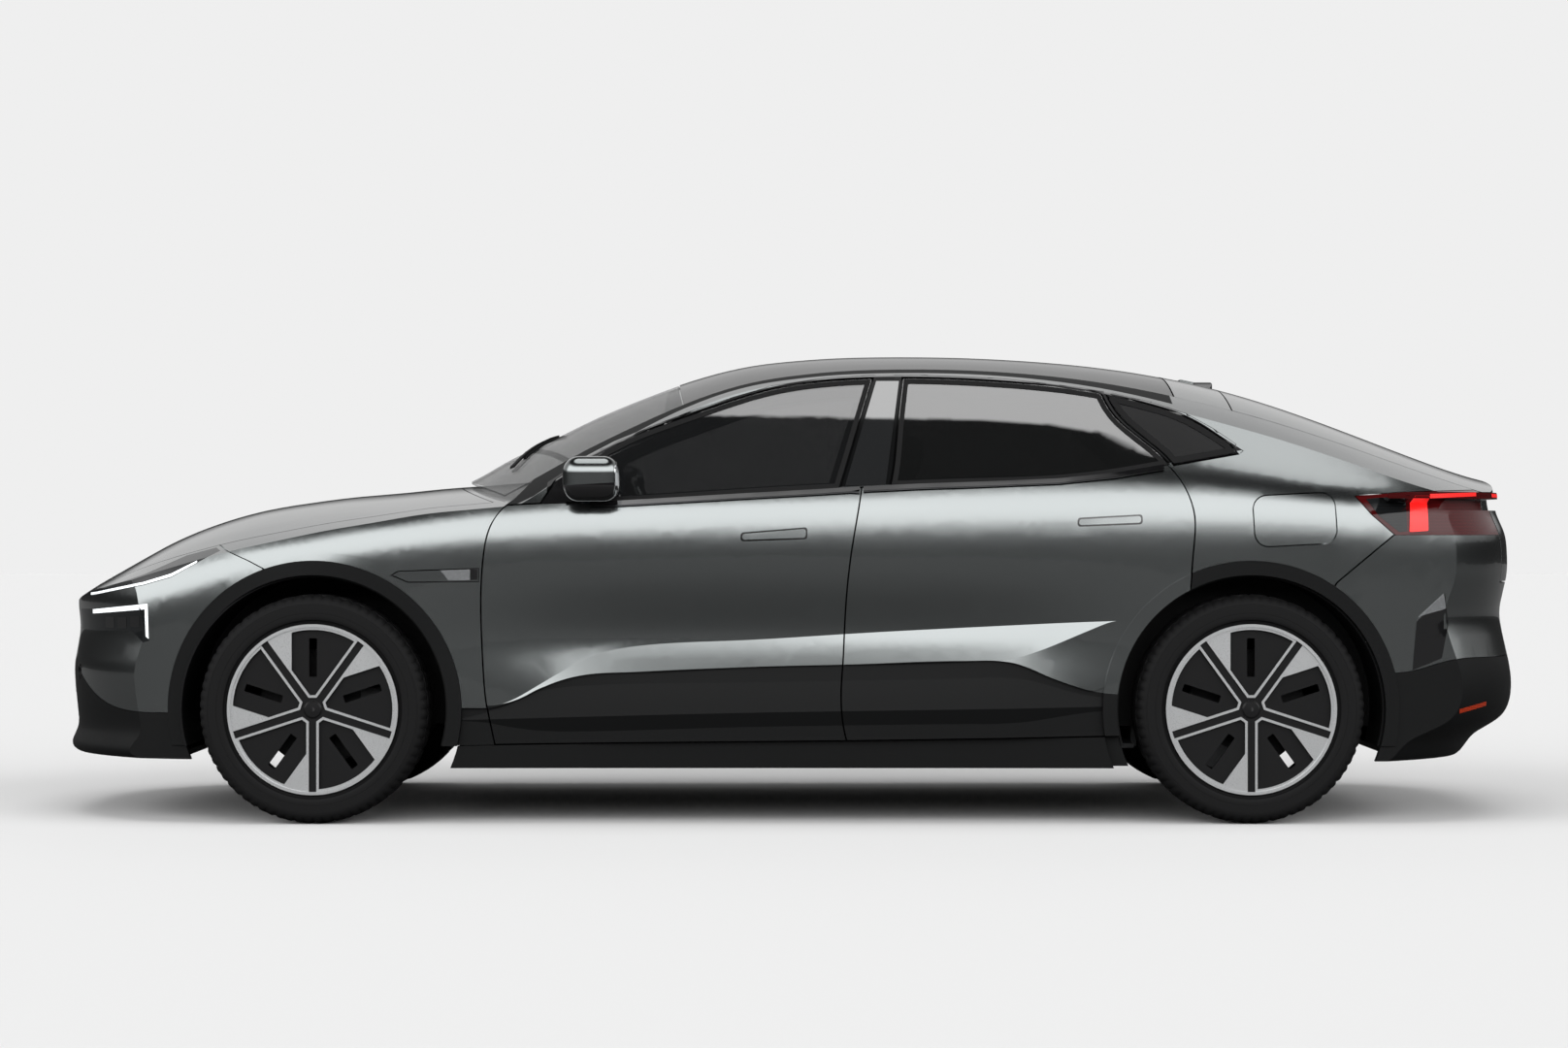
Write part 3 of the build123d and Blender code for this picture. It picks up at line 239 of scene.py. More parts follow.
def make_floor(f):
    seen = f.node("ShaderNodeLightPath", out="Is Camera Ray")
    pale = f.surface(Base_Color=PALE_FLOOR, Roughness=0.9, Specular_IOR_Level=0.0)
    dark = f.surface(Base_Color=DARK_FLOOR, Roughness=0.9)
    return f.node("ShaderNodeMixShader", None, seen, dark, pale)


dress(floor, material("floor", make_floor))
print("floor", 2 * FLOOR_SIZE, "metres wide")


# %% [markdown]
# The studio is the world itself, with no lamps in it. Metallic paint shows its shape by what
# it mirrors, so the light changes with height alone: dim near the ground, a bright band of
# wall, a dim gap, and a bright ceiling. The band lights the shoulder of the car, and the
# ceiling lights what leans in above it. The camera, and what glass lets through, see a
# plain pale backdrop.

# %% Studio light
BACKDROP = colour(239)
DIM_LIGHT = 0.026           # the studio away from its lights
WALL_LIGHT = 3.2            # a bright band of wall, above the horizon
FAR_WALL = 0.19             # the wall on the car's right, as a share of the left one
FAR_FADE = 0.3              # how gently the left wall turns into the right one
WALL_FOOT = (0.085, 0.19)   # sines of the elevations over which each light fades in or out
WALL_TOP = (0.56, 0.74)
CEILING_LIGHT = 2.2
CEILING_EDGE = (0.917, 0.925)

world = bpy.data.worlds.new("studio")
world.use_nodes = True
bpy.context.scene.world = world
studio = Finish(world.node_tree)
right, rise = studio.xyz("Generated")[1:]


def fade(edge):
    """From 0 to 1 between two sines of elevation."""
    return rise.above((edge[0] + edge[1]) / 2, edge[1] - edge[0])


far_side = 1.0 - right.above(0.0, FAR_FADE) * (1.0 - FAR_WALL)
wall = fade(WALL_FOOT) * (1.0 - fade(WALL_TOP)) * far_side
light_level = DIM_LIGHT + wall * WALL_LIGHT + fade(CEILING_EDGE) * CEILING_LIGHT
light = studio.node("ShaderNodeBackground", None, colour(255), light_level)
backdrop = studio.node("ShaderNodeBackground", None, BACKDROP, 1.0)
camera_ray = studio.node("ShaderNodeLightPath", out="Is Camera Ray")
through_glass = studio.node("ShaderNodeLightPath", out="Is Transmission Ray")
plain = camera_ray.math("MAXIMUM", through_glass)
mixed = studio.node("ShaderNodeMixShader", None, plain, light, backdrop)
studio.node("ShaderNodeOutputWorld", None, mixed)
print("studio: wall", WALL_LIGHT, "ceiling", CEILING_LIGHT)


# %% [markdown]
# The paint is a dark grey-green metallic under clear lacquer. Real metallic paint holds
# thousands of tiny flakes that tilt each their own way, so a fine noise moves the colour
# and the roughness a little. The lacquer is the coat: smooth, and it adds a sharp, weak
# mirror on top of the broad soft one.

# %% Paint
PAINT_COLOUR = colour(127, 131, 131)
PAINT_SHADE = colour(113, 117, 117)
PAINT_ROUGHNESS = 0.19
LACQUER_ROUGHNESS = 0.04


def paint_parts(f):
    """Colour and roughness of the paint, with its flakes."""
    flake = f.noise(2600.0, 1.0)
    cloud = f.noise(1.3, 2.0)
    tone = f.mix(flake * 0.7 + cloud * 0.3, PAINT_SHADE, PAINT_COLOUR)
    roughness = PAINT_ROUGHNESS + (flake - 0.5) * 0.06
    return tone, roughness


def make_paint(f):
    tone, roughness = paint_parts(f)
    return f.surface(Base_Color=tone, Roughness=roughness, Metallic=1.0, Coat_Weight=1.0,
                     Coat_Roughness=LACQUER_ROUGHNESS)


paint = material("paint", make_paint)
print("paint roughness", PAINT_ROUGHNESS)


# %% [markdown]
# Most plain finishes share one plan: a noise moves the colour and the roughness a little, so
# one function makes them all. Moulded cladding is grained, so its noise is fine and lifts
# the surface too. Gloss trim is smooth and lacquered. Rubber is dull, with a pale bloom. The
# structure below the body is dark primer.

# %% Cladding, gloss trim, rubber and structure
GRAIN = 900.0               # grains per metre on moulded plastic


def speckled(name, dark, light, roughness, change, scale, detail=2.0, second_scale=None,
             bump=None, **inputs):
    """A material between two colours. A second noise may move its roughness instead."""
    def make(f):
        speckle = f.noise(scale, detail)
        tone = f.mix(speckle, colour(*dark), colour(*light))
        if bump:
            inputs["Normal"] = f.bump(speckle, *bump)
        haze = f.noise(second_scale) if second_scale else speckle
        return f.surface(Base_Color=tone, Roughness=roughness + haze * change, **inputs)
    return material(name, make)


cladding = speckled("cladding", (13, 13, 14), (19, 20, 20), 0.42, 0.14, GRAIN, 3.0,
                    bump=(0.12, 0.0006), Specular_IOR_Level=0.12)
gloss = speckled("gloss_trim", (14, 14, 15), (20, 20, 21), 0.07, 0.05, 40.0, Coat_Weight=0.6,
                 Coat_Roughness=0.03)
rubber = speckled("rubber", (15, 15, 15), (24, 24, 25), 0.6, 0.2, 220.0, 3.0,
                  bump=(0.1, 0.0004), Specular_IOR_Level=0.15)
structure = speckled("structure", (46, 48, 49), (58, 60, 61), 0.5, 0.1, 30.0, 3.0)
print("dark finishes", cladding.name, gloss.name, rubber.name, structure.name)


# %% [markdown]
# Car glass is nearly clear at the front and tinted dark at the rear. Thin glass needs no
# refraction: Alpha lets a share of the cabin show through a dark surface, and a high IOR
# makes that surface a stronger mirror. The quarter windows mirror less than the others.

# %% Glass
def make_glass(tint, clearness, index=2.7):
    def make(f):
        haze = f.noise(6.0, 1.0)
        tone = f.mix(haze, colour(*tint), colour(*[v + 3 for v in tint]))
        return f.surface(Base_Color=tone, Roughness=0.02 + haze * 0.02,
                         Alpha=1.0 - clearness + haze * 0.02, IOR=index)
    return make


front_glass = material("front_glass", make_glass((18, 19, 20), 0.35))
privacy_glass = material("privacy_glass", make_glass((12, 13, 13), 0.2))
screen_glass = material("screen_glass", make_glass((26, 29, 29), 0.6))
quarter_tint = material("quarter_glass", make_glass((9, 9, 10), 0.1, 1.25))
roof_tint = material("roof_glass", make_glass((9, 9, 10), 0.05))
print("glass from", screen_glass.name, "to", roof_tint.name)


# %% [markdown]
# Every CAD node starts in paint, and the nodes that aren't painted are then dressed anew.

# %% Every CAD node gets its finish
for name in nodes:
    dress(name, paint)
for name in ("front_bumper_lower", "rear_bumper_lower", "body_cladding", "wheel_arch_liners",
             "dashboard", "centre_console"):
    dress(name, cladding)
for name in ("floor_pan", "battery_pack", "front_subframe", "rear_axle", "front_knuckle_left",
             "front_knuckle_right"):
    dress(name, structure)
for side in ("left", "right"):
    dress("front_door_glass_" + side, front_glass)
    dress("rear_door_glass_" + side, privacy_glass)
    dress("front_tyre_" + side, rubber)
    dress("rear_tyre_" + side, rubber)
dress("quarter_glass", quarter_tint)
dress("windscreen", screen_glass)
dress("roof_glass", roof_tint)
print("dressed", len(nodes), "nodes")


# %% [markdown]
# The door panels carry dark cladding along their feet, moulded as one with the door. The
# line between paint and cladding is a curve along the car, so a Float Curve node gives its
# height at each place, and one mask swaps colour, roughness, metal and lacquer there. The
# side frames are black round the windows, between two such lines. Inside the car the same
# panels are trimmed, and another mask finds their inner face.

# %% Body panels: paint outside, cladding at the foot, trim inside
CLADDING_LINE = ((-1.30, 0.374), (-0.972, 0.379), (-0.894, 0.391), (-0.785, 0.440),
                 (-0.661, 0.477), (-0.507, 0.487), (-0.166, 0.502), (0.174, 0.511),
                 (0.576, 0.523), (0.700, 0.519), (0.760, 0.502), (0.824, 0.474),
                 (0.900, 0.446), (0.979, 0.424), (1.118, 0.415), (1.300, 0.412))
SHOULDER = 1.05             # above this the side leans in
LEAN = 0.68
INNER_FACE = 0.925          # half width of the body, less its skin
CABIN_END = 1.25            # behind this a panel's inner face is painted
SILL_TOP = 0.36             # the side frame is dark below this
WINDOW_FOOT = ((-0.985, 1.020), (-0.542, 1.037), (-0.168, 1.060), (0.231, 1.082),
               (0.580, 1.095), (0.861, 1.106), (1.048, 1.127), (1.237, 1.159), (1.462, 1.199))
WINDOW_HEAD = ((-0.760, 1.108), (-0.567, 1.224), (-0.440, 1.278), (-0.308, 1.327),
               (-0.059, 1.407), (0.120, 1.434), (0.268, 1.442), (0.420, 1.443),
               (0.700, 1.430), (1.007, 1.393), (1.180, 1.351), (1.286, 1.312),
               (1.412, 1.231), (1.470, 1.190))
WINDOW_SPAN = (-0.78, 1.468)


def line_height(f, points, x, reach, base=0.0):
    """A line's height over a base, at each place from -reach to reach along the car."""
    scaled = [((px + reach) / (2 * reach), pz - base) for px, pz in points]
    share = (x + reach) / (2 * reach)
    return f.node("ShaderNodeFloatCurve", {"points": scaled}, 1.0, share)


def round_windows(f, x, z):
    """1 on the black of the body round the side windows."""
    foot = line_height(f, WINDOW_FOOT, x, 1.5, 1.0)
    head = line_height(f, WINDOW_HEAD, x, 1.5, 1.0)
    height = z - 1.0
    span = x.above(WINDOW_SPAN[0], 0.002) * x.below(WINDOW_SPAN[1], 0.002)
    return span * (height - foot).above(0.0) * (head - height).above(0.0)


def make_panel(is_door):
    """Doors have cladding at the foot; side frames have a dark sill and black windows."""
    def make(f):
        x, y, z = f.xyz()
        tone, roughness = paint_parts(f)
        grain = f.noise(GRAIN, 3.0)
        dark = f.mix(grain, colour(13, 13, 14), colour(20, 21, 21))
        width = y.size() + (z - SHOULDER).math("MAXIMUM", 0.0) * LEAN
        inside = width.below(INNER_FACE, 0.002) * x.below(CABIN_END, 0.002)
        if is_door:
            line = line_height(f, CLADDING_LINE, x, 1.3)
            plain = inside.math("MAXIMUM", (line - z).above(0.0, 0.0012))
            black = 0.0
        else:
            black = round_windows(f, x, z)
            plain = inside.math("MAXIMUM", z.below(SILL_TOP)).math("MAXIMUM", black)
        shiny = 1.0 - plain
        return f.surface(Base_Color=f.mix(plain, tone, dark),
                         Roughness=roughness * shiny + plain * 0.5 - black * 0.4,
                         Metallic=shiny, Specular_IOR_Level=0.12, Coat_Weight=shiny,
                         Coat_Roughness=LACQUER_ROUGHNESS,
                         Normal=f.bump(grain * plain, 0.12, 0.0005))
    return make


door_finish = material("door_panels", make_panel(True))
frame_finish = material("side_frames", make_panel(False))
for side in ("left", "right"):
    dress("front_door_" + side, door_finish)
    dress("rear_door_" + side, door_finish)
    dress("side_frame_" + side, frame_finish)
print("cladding line from", CLADDING_LINE[0], "to", CLADDING_LINE[-1])


# %% [markdown]
# A mirror case has a painted cap over a black foot, and a mask follows the line between
# them. The same trick gives the alloy wheels their two tones: the faces that a lathe has cut
# lie furthest out, so their distance from the centreline picks them. The cap at the middle
# of each wheel stays dark, and the brake disc, further in, is bare steel.

# %% Mirror case and wheel finishes
CAP_LINE = 1.126            # the cap's lower edge, where it would cross the axis x = 0
CAP_RISE = 0.06
CASE_INNER = 0.590          # a slanted plane between the case and its plate


def make_mirror(f):
    x, y, z = f.xyz()
    tone, roughness = paint_parts(f)
    cap = (z - x * CAP_RISE).above(CAP_LINE) * (y.size() + x * 0.5).above(CASE_INNER)
    black = f.mix(f.noise(60.0), colour(15, 15, 16), colour(21, 21, 22))
    return f.surface(Base_Color=f.mix(cap, black, tone),
                     Roughness=cap * roughness + (1.0 - cap) * 0.12, Metallic=cap,
                     Coat_Weight=1.0, Coat_Roughness=LACQUER_ROUGHNESS)


WHEEL_FACE = 0.9778         # how far out the cut faces of the wheels lie
DISC_FACES = (0.80, 0.84)   # between these lies the brake disc
CAP_RADIUS = 0.033          # of the blank, dark cap at the middle of each wheel
AXLES = (-1.524, 1.475)
AXLE_HEIGHT = 0.367


def from_axle(x, z):
    """How far a point is from the nearer axle, seen from the side."""
    along = (x - (AXLES[0] + AXLES[1]) / 2).size() - (AXLES[1] - AXLES[0]) / 2
    above = z - AXLE_HEIGHT
    return (along * along + above * above).math("SQRT")


def make_alloy(f):
    x, y, z = f.xyz()
    out = y.size()
    cut = out.above(WHEEL_FACE, 0.0008) * from_axle(x, z).above(CAP_RADIUS, 0.0008)
    disc = out.below(DISC_FACES[1], 0.0008) * out.above(DISC_FACES[0])
    fine = f.noise(700.0)
    dark = f.mix(fine, colour(12, 12, 13), colour(19, 19, 20))
    bright = f.mix(fine, colour(196, 198, 199), colour(214, 215, 216))
    steel = f.mix(fine, colour(96, 94, 92), colour(120, 118, 116))
    tone = f.mix(disc, f.mix(cut, dark, bright), steel)
    return f.surface(Base_Color=tone, Roughness=0.34 + fine * 0.1 - cut * 0.1,
                     Metallic=cut * 0.75 + disc * 0.9, Specular_IOR_Level=0.2,
                     Coat_Weight=cut * 0.6 + 0.05, Coat_Roughness=0.1)


mirror_case = material("mirror_case", make_mirror)
alloy = material("alloy_wheels", make_alloy)
for side in ("left", "right"):
    dress("door_mirror_" + side, mirror_case)
    dress("front_wheel_" + side, alloy)
    dress("rear_wheel_" + side, alloy)
print("wheel faces are cut beyond", WHEEL_FACE)


# %% [markdown]
# Lamps glow a little even by day. The front lamps have a smoked body with white bars, and
# the rear lamps a dark red body with bright red bars. The glowing bars are pieces of their
# own, so a lamp's body is only a deep, glossy plastic with fine ribs. Two metals for small
# trim are made here too.

# %% Lamp finishes
def make_lamp(tint, roughness=0.06):
    def make(f):
        rib = f.wave(f.xyz()[2], 1400.0)
        tone = f.mix(rib, colour(*tint), colour(*[round(v * 1.5) + 3 for v in tint]))
        return f.surface(Base_Color=tone, Roughness=roughness + rib * 0.04,
                         Specular_IOR_Level=0.2, Coat_Weight=0.25, Coat_Roughness=0.02)
    return make


def make_glow(tint):
    def make(f):
        tone = f.mix(f.wave(f.xyz()[0], 900.0), colour(*tint),
                     colour(*[min(255, v + 8) for v in tint]))
        return f.surface(Base_Color=tone, Roughness=0.25, Emission_Color=tone,
                         Emission_Strength=0.75)
    return make


def metal(name, dark, light, roughness):
    return speckled(name, dark, light, roughness, 0.08, 300.0, second_scale=500.0,
                    Metallic=1.0)


smoked_lamp = material("smoked_lamp", make_lamp((20, 21, 22)))
red_lamp = material("red_lamp", make_lamp((52, 8, 9)))
white_glow = material("white_glow", make_glow((236, 240, 242)))
red_glow = material("red_glow", make_glow((214, 26, 24)))
amber = material("amber_reflector", make_lamp((120, 34, 12), 0.2))
chrome = metal("satin_metal", (150, 152, 154), (176, 178, 180), 0.22)
dark_chrome = metal("dark_chrome", (52, 53, 54), (66, 67, 68), 0.25)
dress("headlamps", smoked_lamp)
dress("tail_lamps", red_lamp)
dress("tailgate_light_bar", red_lamp)
print("lamp finishes", smoked_lamp.name, red_lamp.name)


# %% [markdown]
# Everything from here on is new geometry. Each piece starts as a bmesh, and one helper
# finishes them all: it joins doubled points, turns the faces outward, makes the object and
# lets it ride on a body. Where the right side needs one too, a copy is mirrored.

# %% Finish a new piece
def piece(name, shape, body, finish, sharp=35):
    """The object of a bmesh, with edges sharper than some degrees left sharp."""
    bmesh.ops.remove_doubles(shape, verts=shape.verts, dist=1e-6)
    bmesh.ops.recalc_face_normals(shape, faces=shape.faces)
    data = bpy.data.meshes.new(name)
    shape.to_mesh(data)
    shape.free()
    data.shade_smooth()
    data.set_sharp_from_angle(angle=radians(sharp))
    made = bpy.data.objects.new(name, data)
    bpy.context.scene.collection.objects.link(made)
    data.materials.append(finish)
    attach(made, body)
    return made


def cube(size):
    """A box about the origin."""
    shape = bmesh.new()
    bmesh.ops.create_cube(shape, size=1.0)
    bmesh.ops.scale(shape, verts=shape.verts, vec=size)
    return shape


def bevel(shape, parts, offset, segments, affect="EDGES"):
    bmesh.ops.bevel(shape, geom=parts, offset=offset, segments=segments, profile=0.5,
                    affect=affect, material=-1)


def flipped(shape):
    """A copy of a bmesh for the other side of the car."""
    other = shape.copy()
    bmesh.ops.scale(other, verts=other.verts, vec=(1, -1, 1))
    bmesh.ops.reverse_faces(other, faces=other.faces)
    return other


def pair(name, shape, body, finish):
    """A left piece and its mirror image; a body's name may differ by side too."""
    other = flipped(shape)
    piece(name + "_left", shape, body, finish)
    piece(name + "_right", other, body.replace("_left", "_right"), finish)


# %% [markdown]
# Trim, seams and the bars of the lamps lie on curved skins. The quick way to fit them is to
# draw the outline flat, slice it into small faces, and press each point onto the skin along
# one direction, as a sticker is smoothed down. A search tree over the CAD triangles finds
# where each point lands. Extruding the sticker into the skin gives it its thickness.

# %% Press a flat outline onto the skin
def skin_of(*names):
    """A search tree over the triangles of CAD nodes."""
    shape = bmesh.new()
    for name in names:
        shape.from_mesh(nodes[name].data)
    tree = BVHTree.FromBMesh(shape)
    shape.free()
    return tree


LEFT_SIDE = ("front_door_left", "rear_door_left", "side_frame_left", "front_wing_left",
             "front_bumper", "front_bumper_lower", "rear_bumper", "rear_bumper_lower",
             "headlamps", "tail_lamps", "body_cladding", "charge_flap")
left_skin = skin_of(*[name for name in nodes if name in LEFT_SIDE])
AWAY = 4.0                  # outlines are drawn this far outside the car
FROM_LEFT, FROM_AHEAD = (0, 1, 0), (1, 0, 0)
FROM_BEHIND, FROM_ABOVE = (-1, 0, 0), (0, 0, -1)


def rectangle(left, foot, right, top):
    return [(left, foot), (right, foot), (right, top), (left, top)]


def outline(points, look, corner=0.0):
    """A flat face through drawn points, seen along one direction, with rounded corners."""
    shape = bmesh.new()
    across_x = abs(look.y) > 0.5
    places = [(u, 0, v) if across_x else (0, u, v) if abs(look.x) > 0.5 else (u, v, 0)
              for u, v in points]
    shape.faces.new([shape.verts.new(Vector(place) - look * AWAY) for place in places])
    if corner:
        bevel(shape, shape.verts[:], corner, 4, "VERTICES")
    return shape


def slice_up(shape, step):
    """Cuts a flat shape into small faces along each axis that it spans."""
    for axis in range(3):
        low = min(v.co[axis] for v in shape.verts)
        high = max(v.co[axis] for v in shape.verts)
        normal = Vector([float(axis == i) for i in range(3)])
        cuts = int((high - low) / step)
        for i in range(1, cuts + 1):
            place = normal * (low + i * (high - low) / (cuts + 1))
            bmesh.ops.bisect_plane(shape, geom=shape.verts[:] + shape.edges[:] + shape.faces[:],
                                   plane_co=place, plane_no=normal, dist=1e-5)


def press(shape, skin, look, lift, drop=0.0):
    """Moves each point along a direction onto the skin, and lifts it off by a little.

    With a drop, the skin is felt that much lower, for a strip along a panel's top edge."""
    down = Vector((0, 0, -drop))
    for vert in shape.verts:
        place, normal, face, far = skin.ray_cast(vert.co + down, look)
        if place is None:
            place, normal, face, far = skin.find_nearest(vert.co + look * (AWAY - 1.0))
        if normal.dot(look) > 0:
            normal = -normal
        vert.co = place - down + normal * lift


def thicken(shape, along):
    """Gives a pressed sheet its thickness, straight along one direction."""
    made = bmesh.ops.extrude_face_region(shape, geom=shape.faces[:], use_keep_orig=True)
    moved = [item for item in made["geom"] if isinstance(item, bmesh.types.BMVert)]
    bmesh.ops.translate(shape, verts=moved, vec=along)


def patch(points, skin, lift, depth, look=FROM_LEFT, corner=0.0, step=0.03, drop=0.0):
    """A thin plate pressed onto a skin: lift is its outer face, depth its thickness."""
    look = Vector(look)
    shape = outline(points, look, corner)
    slice_up(shape, step)
    press(shape, skin, look, lift, drop)
    thicken(shape, look * depth)
    return shape


print("left skin of", len(LEFT_SIDE), "nodes")


# %% [markdown]
# The door handles lie flush: all that shows is a thin dark seam round a painted plate. So
# each is two plates, a black one just proud of the door, and a painted one on it that is
# smaller by the seam's width.

# %% Door handles
SEAM = 0.0055
HANDLES = {"front": ((-0.157, 0.904), (0.057, 0.911), (0.057, 0.950), (-0.157, 0.933)),
           "rear": ((0.920, 0.951), (1.128, 0.959), (1.128, 0.991), (0.920, 0.980))}


def shrunk(points, by):
    """The outline moved in by a distance, for outlines that are nearly rectangles."""
    middle = [sum(p[i] for p in points) / len(points) for i in range(2)]
    return [tuple(p[i] - by * (1 if p[i] > middle[i] else -1) for i in range(2)) for p in points]


for name, points in HANDLES.items():
    body = name + "_door_left"
    pair(name + "_handle_seam", patch(points, left_skin, 0.0006, 0.0012, corner=0.010),
         body, gloss)
    plate = patch(shrunk(points, SEAM), left_skin, 0.0014, 0.0016, corner=0.008)
    pair(name + "_handle", plate, body, paint)
print("handles", list(HANDLES))


# %% [markdown]
# The flap over the charging socket is on the left only. The right side has the same pocket,
# so a fixed cover closes it: a mirrored copy of the flap's mesh. A CAD mesh is loose
# triangles, so the copy is merged first.

# %% Cover of the right pocket
cover = bmesh.new()
cover.from_mesh(nodes["charge_flap"].data)
bmesh.ops.remove_doubles(cover, verts=cover.verts, dist=2e-5)
piece("right_pocket_cover", flipped(cover), "body_shell", paint)
cover.free()
print("cover of the right pocket from", len(nodes["charge_flap"].data.polygons), "triangles")


# %% [markdown]
# Each side window sits in a black border on its glass. The border's outer line is the edge
# of the pane itself, read from the CAD triangles and thinned to its corners and a few points
# between. Its inner line runs beside it at an even distance, mitred at the corners, and the
# ring between the two is sliced and pressed on the pane.

# %% Window borders
FINE_GAP = 0.006            # between the points in which corners are looked for
POINT_GAP = 0.024           # between the points that are kept
CORNER_TURN = 0.6           # radians that make a corner
BAND_INSET = 0.0015         # keeps a border's outer line on the pane
SHARPEST_MITRE = 0.45


def pane_outline(node):
    """The (x, z) points round the outer face of a left pane."""
    shape = bmesh.new()
    shape.from_mesh(nodes[node].data)
    bmesh.ops.remove_doubles(shape, verts=shape.verts, dist=2e-5)
    back = [face for face in shape.faces
            if face.normal.y > -0.25 or face.calc_center_median().y > 0]
    bmesh.ops.delete(shape, geom=back, context="FACES")
    ends = {}
    for edge in shape.edges:
        if edge.is_boundary:
            for vert in edge.verts:
                ends.setdefault(vert, []).append(edge.other_vert(vert))
    start = here = min(ends, key=lambda vert: vert.co.x)
    walk, before = [], None
    while not walk or here is not start:
        walk.append((here.co.x, here.co.z))
        onward = [vert for vert in ends[here] if vert is not before]
        before, here = here, onward[0]
    shape.free()
    return thinned(walk)


def thinned(walk):
    """A closed line's corners, and points between them at even distances."""
    near = [Vector(walk[0])]
    for point in walk[1:]:
        if (Vector(point) - near[-1]).length > FINE_GAP:
            near.append(Vector(point))
    count = len(near)
    turns = []
    for i, point in enumerate(near):
        ahead = near[(i + 2) % count] - point
        turns.append((point - near[i - 2]).angle(ahead, 0.0))
    corners = [i for i in range(count) if turns[i] > CORNER_TURN
               and turns[i] == max(turns[(i + k) % count] for k in range(-3, 4))]
    kept = []
    for i, point in enumerate(near):
        to_corner = min((point - near[k]).length for k in corners)
        spaced = not kept or (point - Vector(kept[-1])).length > POINT_GAP
        if i in corners or (spaced and to_corner > POINT_GAP):
            kept.append(tuple(point))
    return kept


def band(points, width, skin, lift, depth):
    """A band of one width just inside a left pane's outline, pressed on its skin."""
    look = Vector(FROM_LEFT)
    walk = [Vector(point) for point in points]
    twice_area = sum(a.cross(b) for a, b in zip(walk, walk[1:] + walk[:1]))
    turn = 1.0 if twice_area > 0 else -1.0
    shape = bmesh.new()
    rims = []
    for i, point in enumerate(walk):
        before = (point - walk[i - 1]).normalized()
        after = (walk[(i + 1) % len(walk)] - point).normalized()
        inward = [Vector((-way.y, way.x)) * turn for way in (before, after)]
        mitre = (inward[0] + inward[1]).normalized()
        mitre /= max(mitre.dot(inward[0]), SHARPEST_MITRE)
        rims.append([shape.verts.new(Vector((u, 0, v)) - look * AWAY)
                     for u, v in (point + mitre * BAND_INSET, point + mitre * width)])
    for one, two in zip(rims, rims[1:] + rims[:1]):
        shape.faces.new([one[0], two[0], two[1], one[1]])
    bmesh.ops.recalc_face_normals(shape, faces=shape.faces)
    slice_up(shape, 0.025)
    press(shape, skin, look, lift)
    thicken(shape, look * depth)
    return shape


def window_border(name, pane_name, body, width):
    points = pane_outline(pane_name)
    ring = band(points, width, skin_of(pane_name), 0.0015, 0.0025)
    pair(name + "_window_border", ring, body, rubber)
    print(name, "window outline of", len(points), "points")


for end in ("front", "rear"):
    window_border(end, end + "_door_glass_left", end + "_door_left", 0.017)


# %% [markdown]
# A polished dark strip runs along the foot of the side windows, with a black one above it
# that wipes the glass. Both follow the door's top edge, so they are pressed on the skin a
# little lower down, where it is wide enough to feel.

# %% Belt strips
def ribbon(points, width):
    """The outline of a strip of one width along a line of points."""
    top = [(x, z + width / 2) for x, z in points]
    return [(x, z - width / 2) for x, z in points] + top[::-1]


FRONT_BELT = [(-0.640, 1.0165), (-0.542, 1.0190), (-0.168, 1.0410), (0.100, 1.0560),
              (0.2255, 1.0640)]
REAR_BELT = [(0.2365, 1.0645), (0.420, 1.0735), (0.580, 1.0785), (0.861, 1.0900),
             (1.048, 1.1090), (1.200, 1.1350)]
BELT_DROP = 0.014           # the door's skin is felt this much below its top edge
RUBBER_RISE = 0.009
for end, line in (("front", FRONT_BELT), ("rear", REAR_BELT)):
    door = end + "_door_left"
    door_skin = skin_of(door)
    high_line = [(x, z + RUBBER_RISE) for x, z in line]
    rubber_strip = patch(ribbon(high_line, 0.014), door_skin, 0.0010, 0.006,
                         drop=BELT_DROP + RUBBER_RISE)
    pair(end + "_belt_rubber", rubber_strip, door, gloss)
    polished_strip = patch(ribbon(line, 0.0050), door_skin, 0.0024, 0.005, drop=BELT_DROP)
    pair(end + "_belt_strip", polished_strip, door, dark_chrome)
print("belt strips from", FRONT_BELT[0], "to", REAR_BELT[-1])


# %% [markdown]
# The pillar between the doors wears a glossy cover, so that the side windows read as one
# dark band from the mirror to the tail. It mirrors like glass but lets nothing through. The
# quarter window behind the rear door gets its border here too.

# %% Pillar covers and quarter windows
pillar_gloss = material("pillar_gloss", make_glass((30, 31, 32), 0.0))
frame_skin = skin_of("side_frame_left")
PILLAR = [(0.2830, 1.426), (0.2350, 1.272), (0.1780, 1.082), (0.3080, 1.086), (0.3350, 1.274),
          (0.3570, 1.426)]
pair("pillar_cover", patch(PILLAR, frame_skin, 0.0010, 0.004), "body_shell", pillar_gloss)
window_border("quarter", "quarter_glass", "body_shell", 0.020)


# %% [markdown]
# The front lamps are two slim shapes. A blade runs back along the bonnet's edge with a
# white line along its foot, and a corner lamp below it has a white bar along its top that
# turns down at the rear end. Below that bar sit three small projectors. The bars stand a
# millimetre out of the smoked lens.

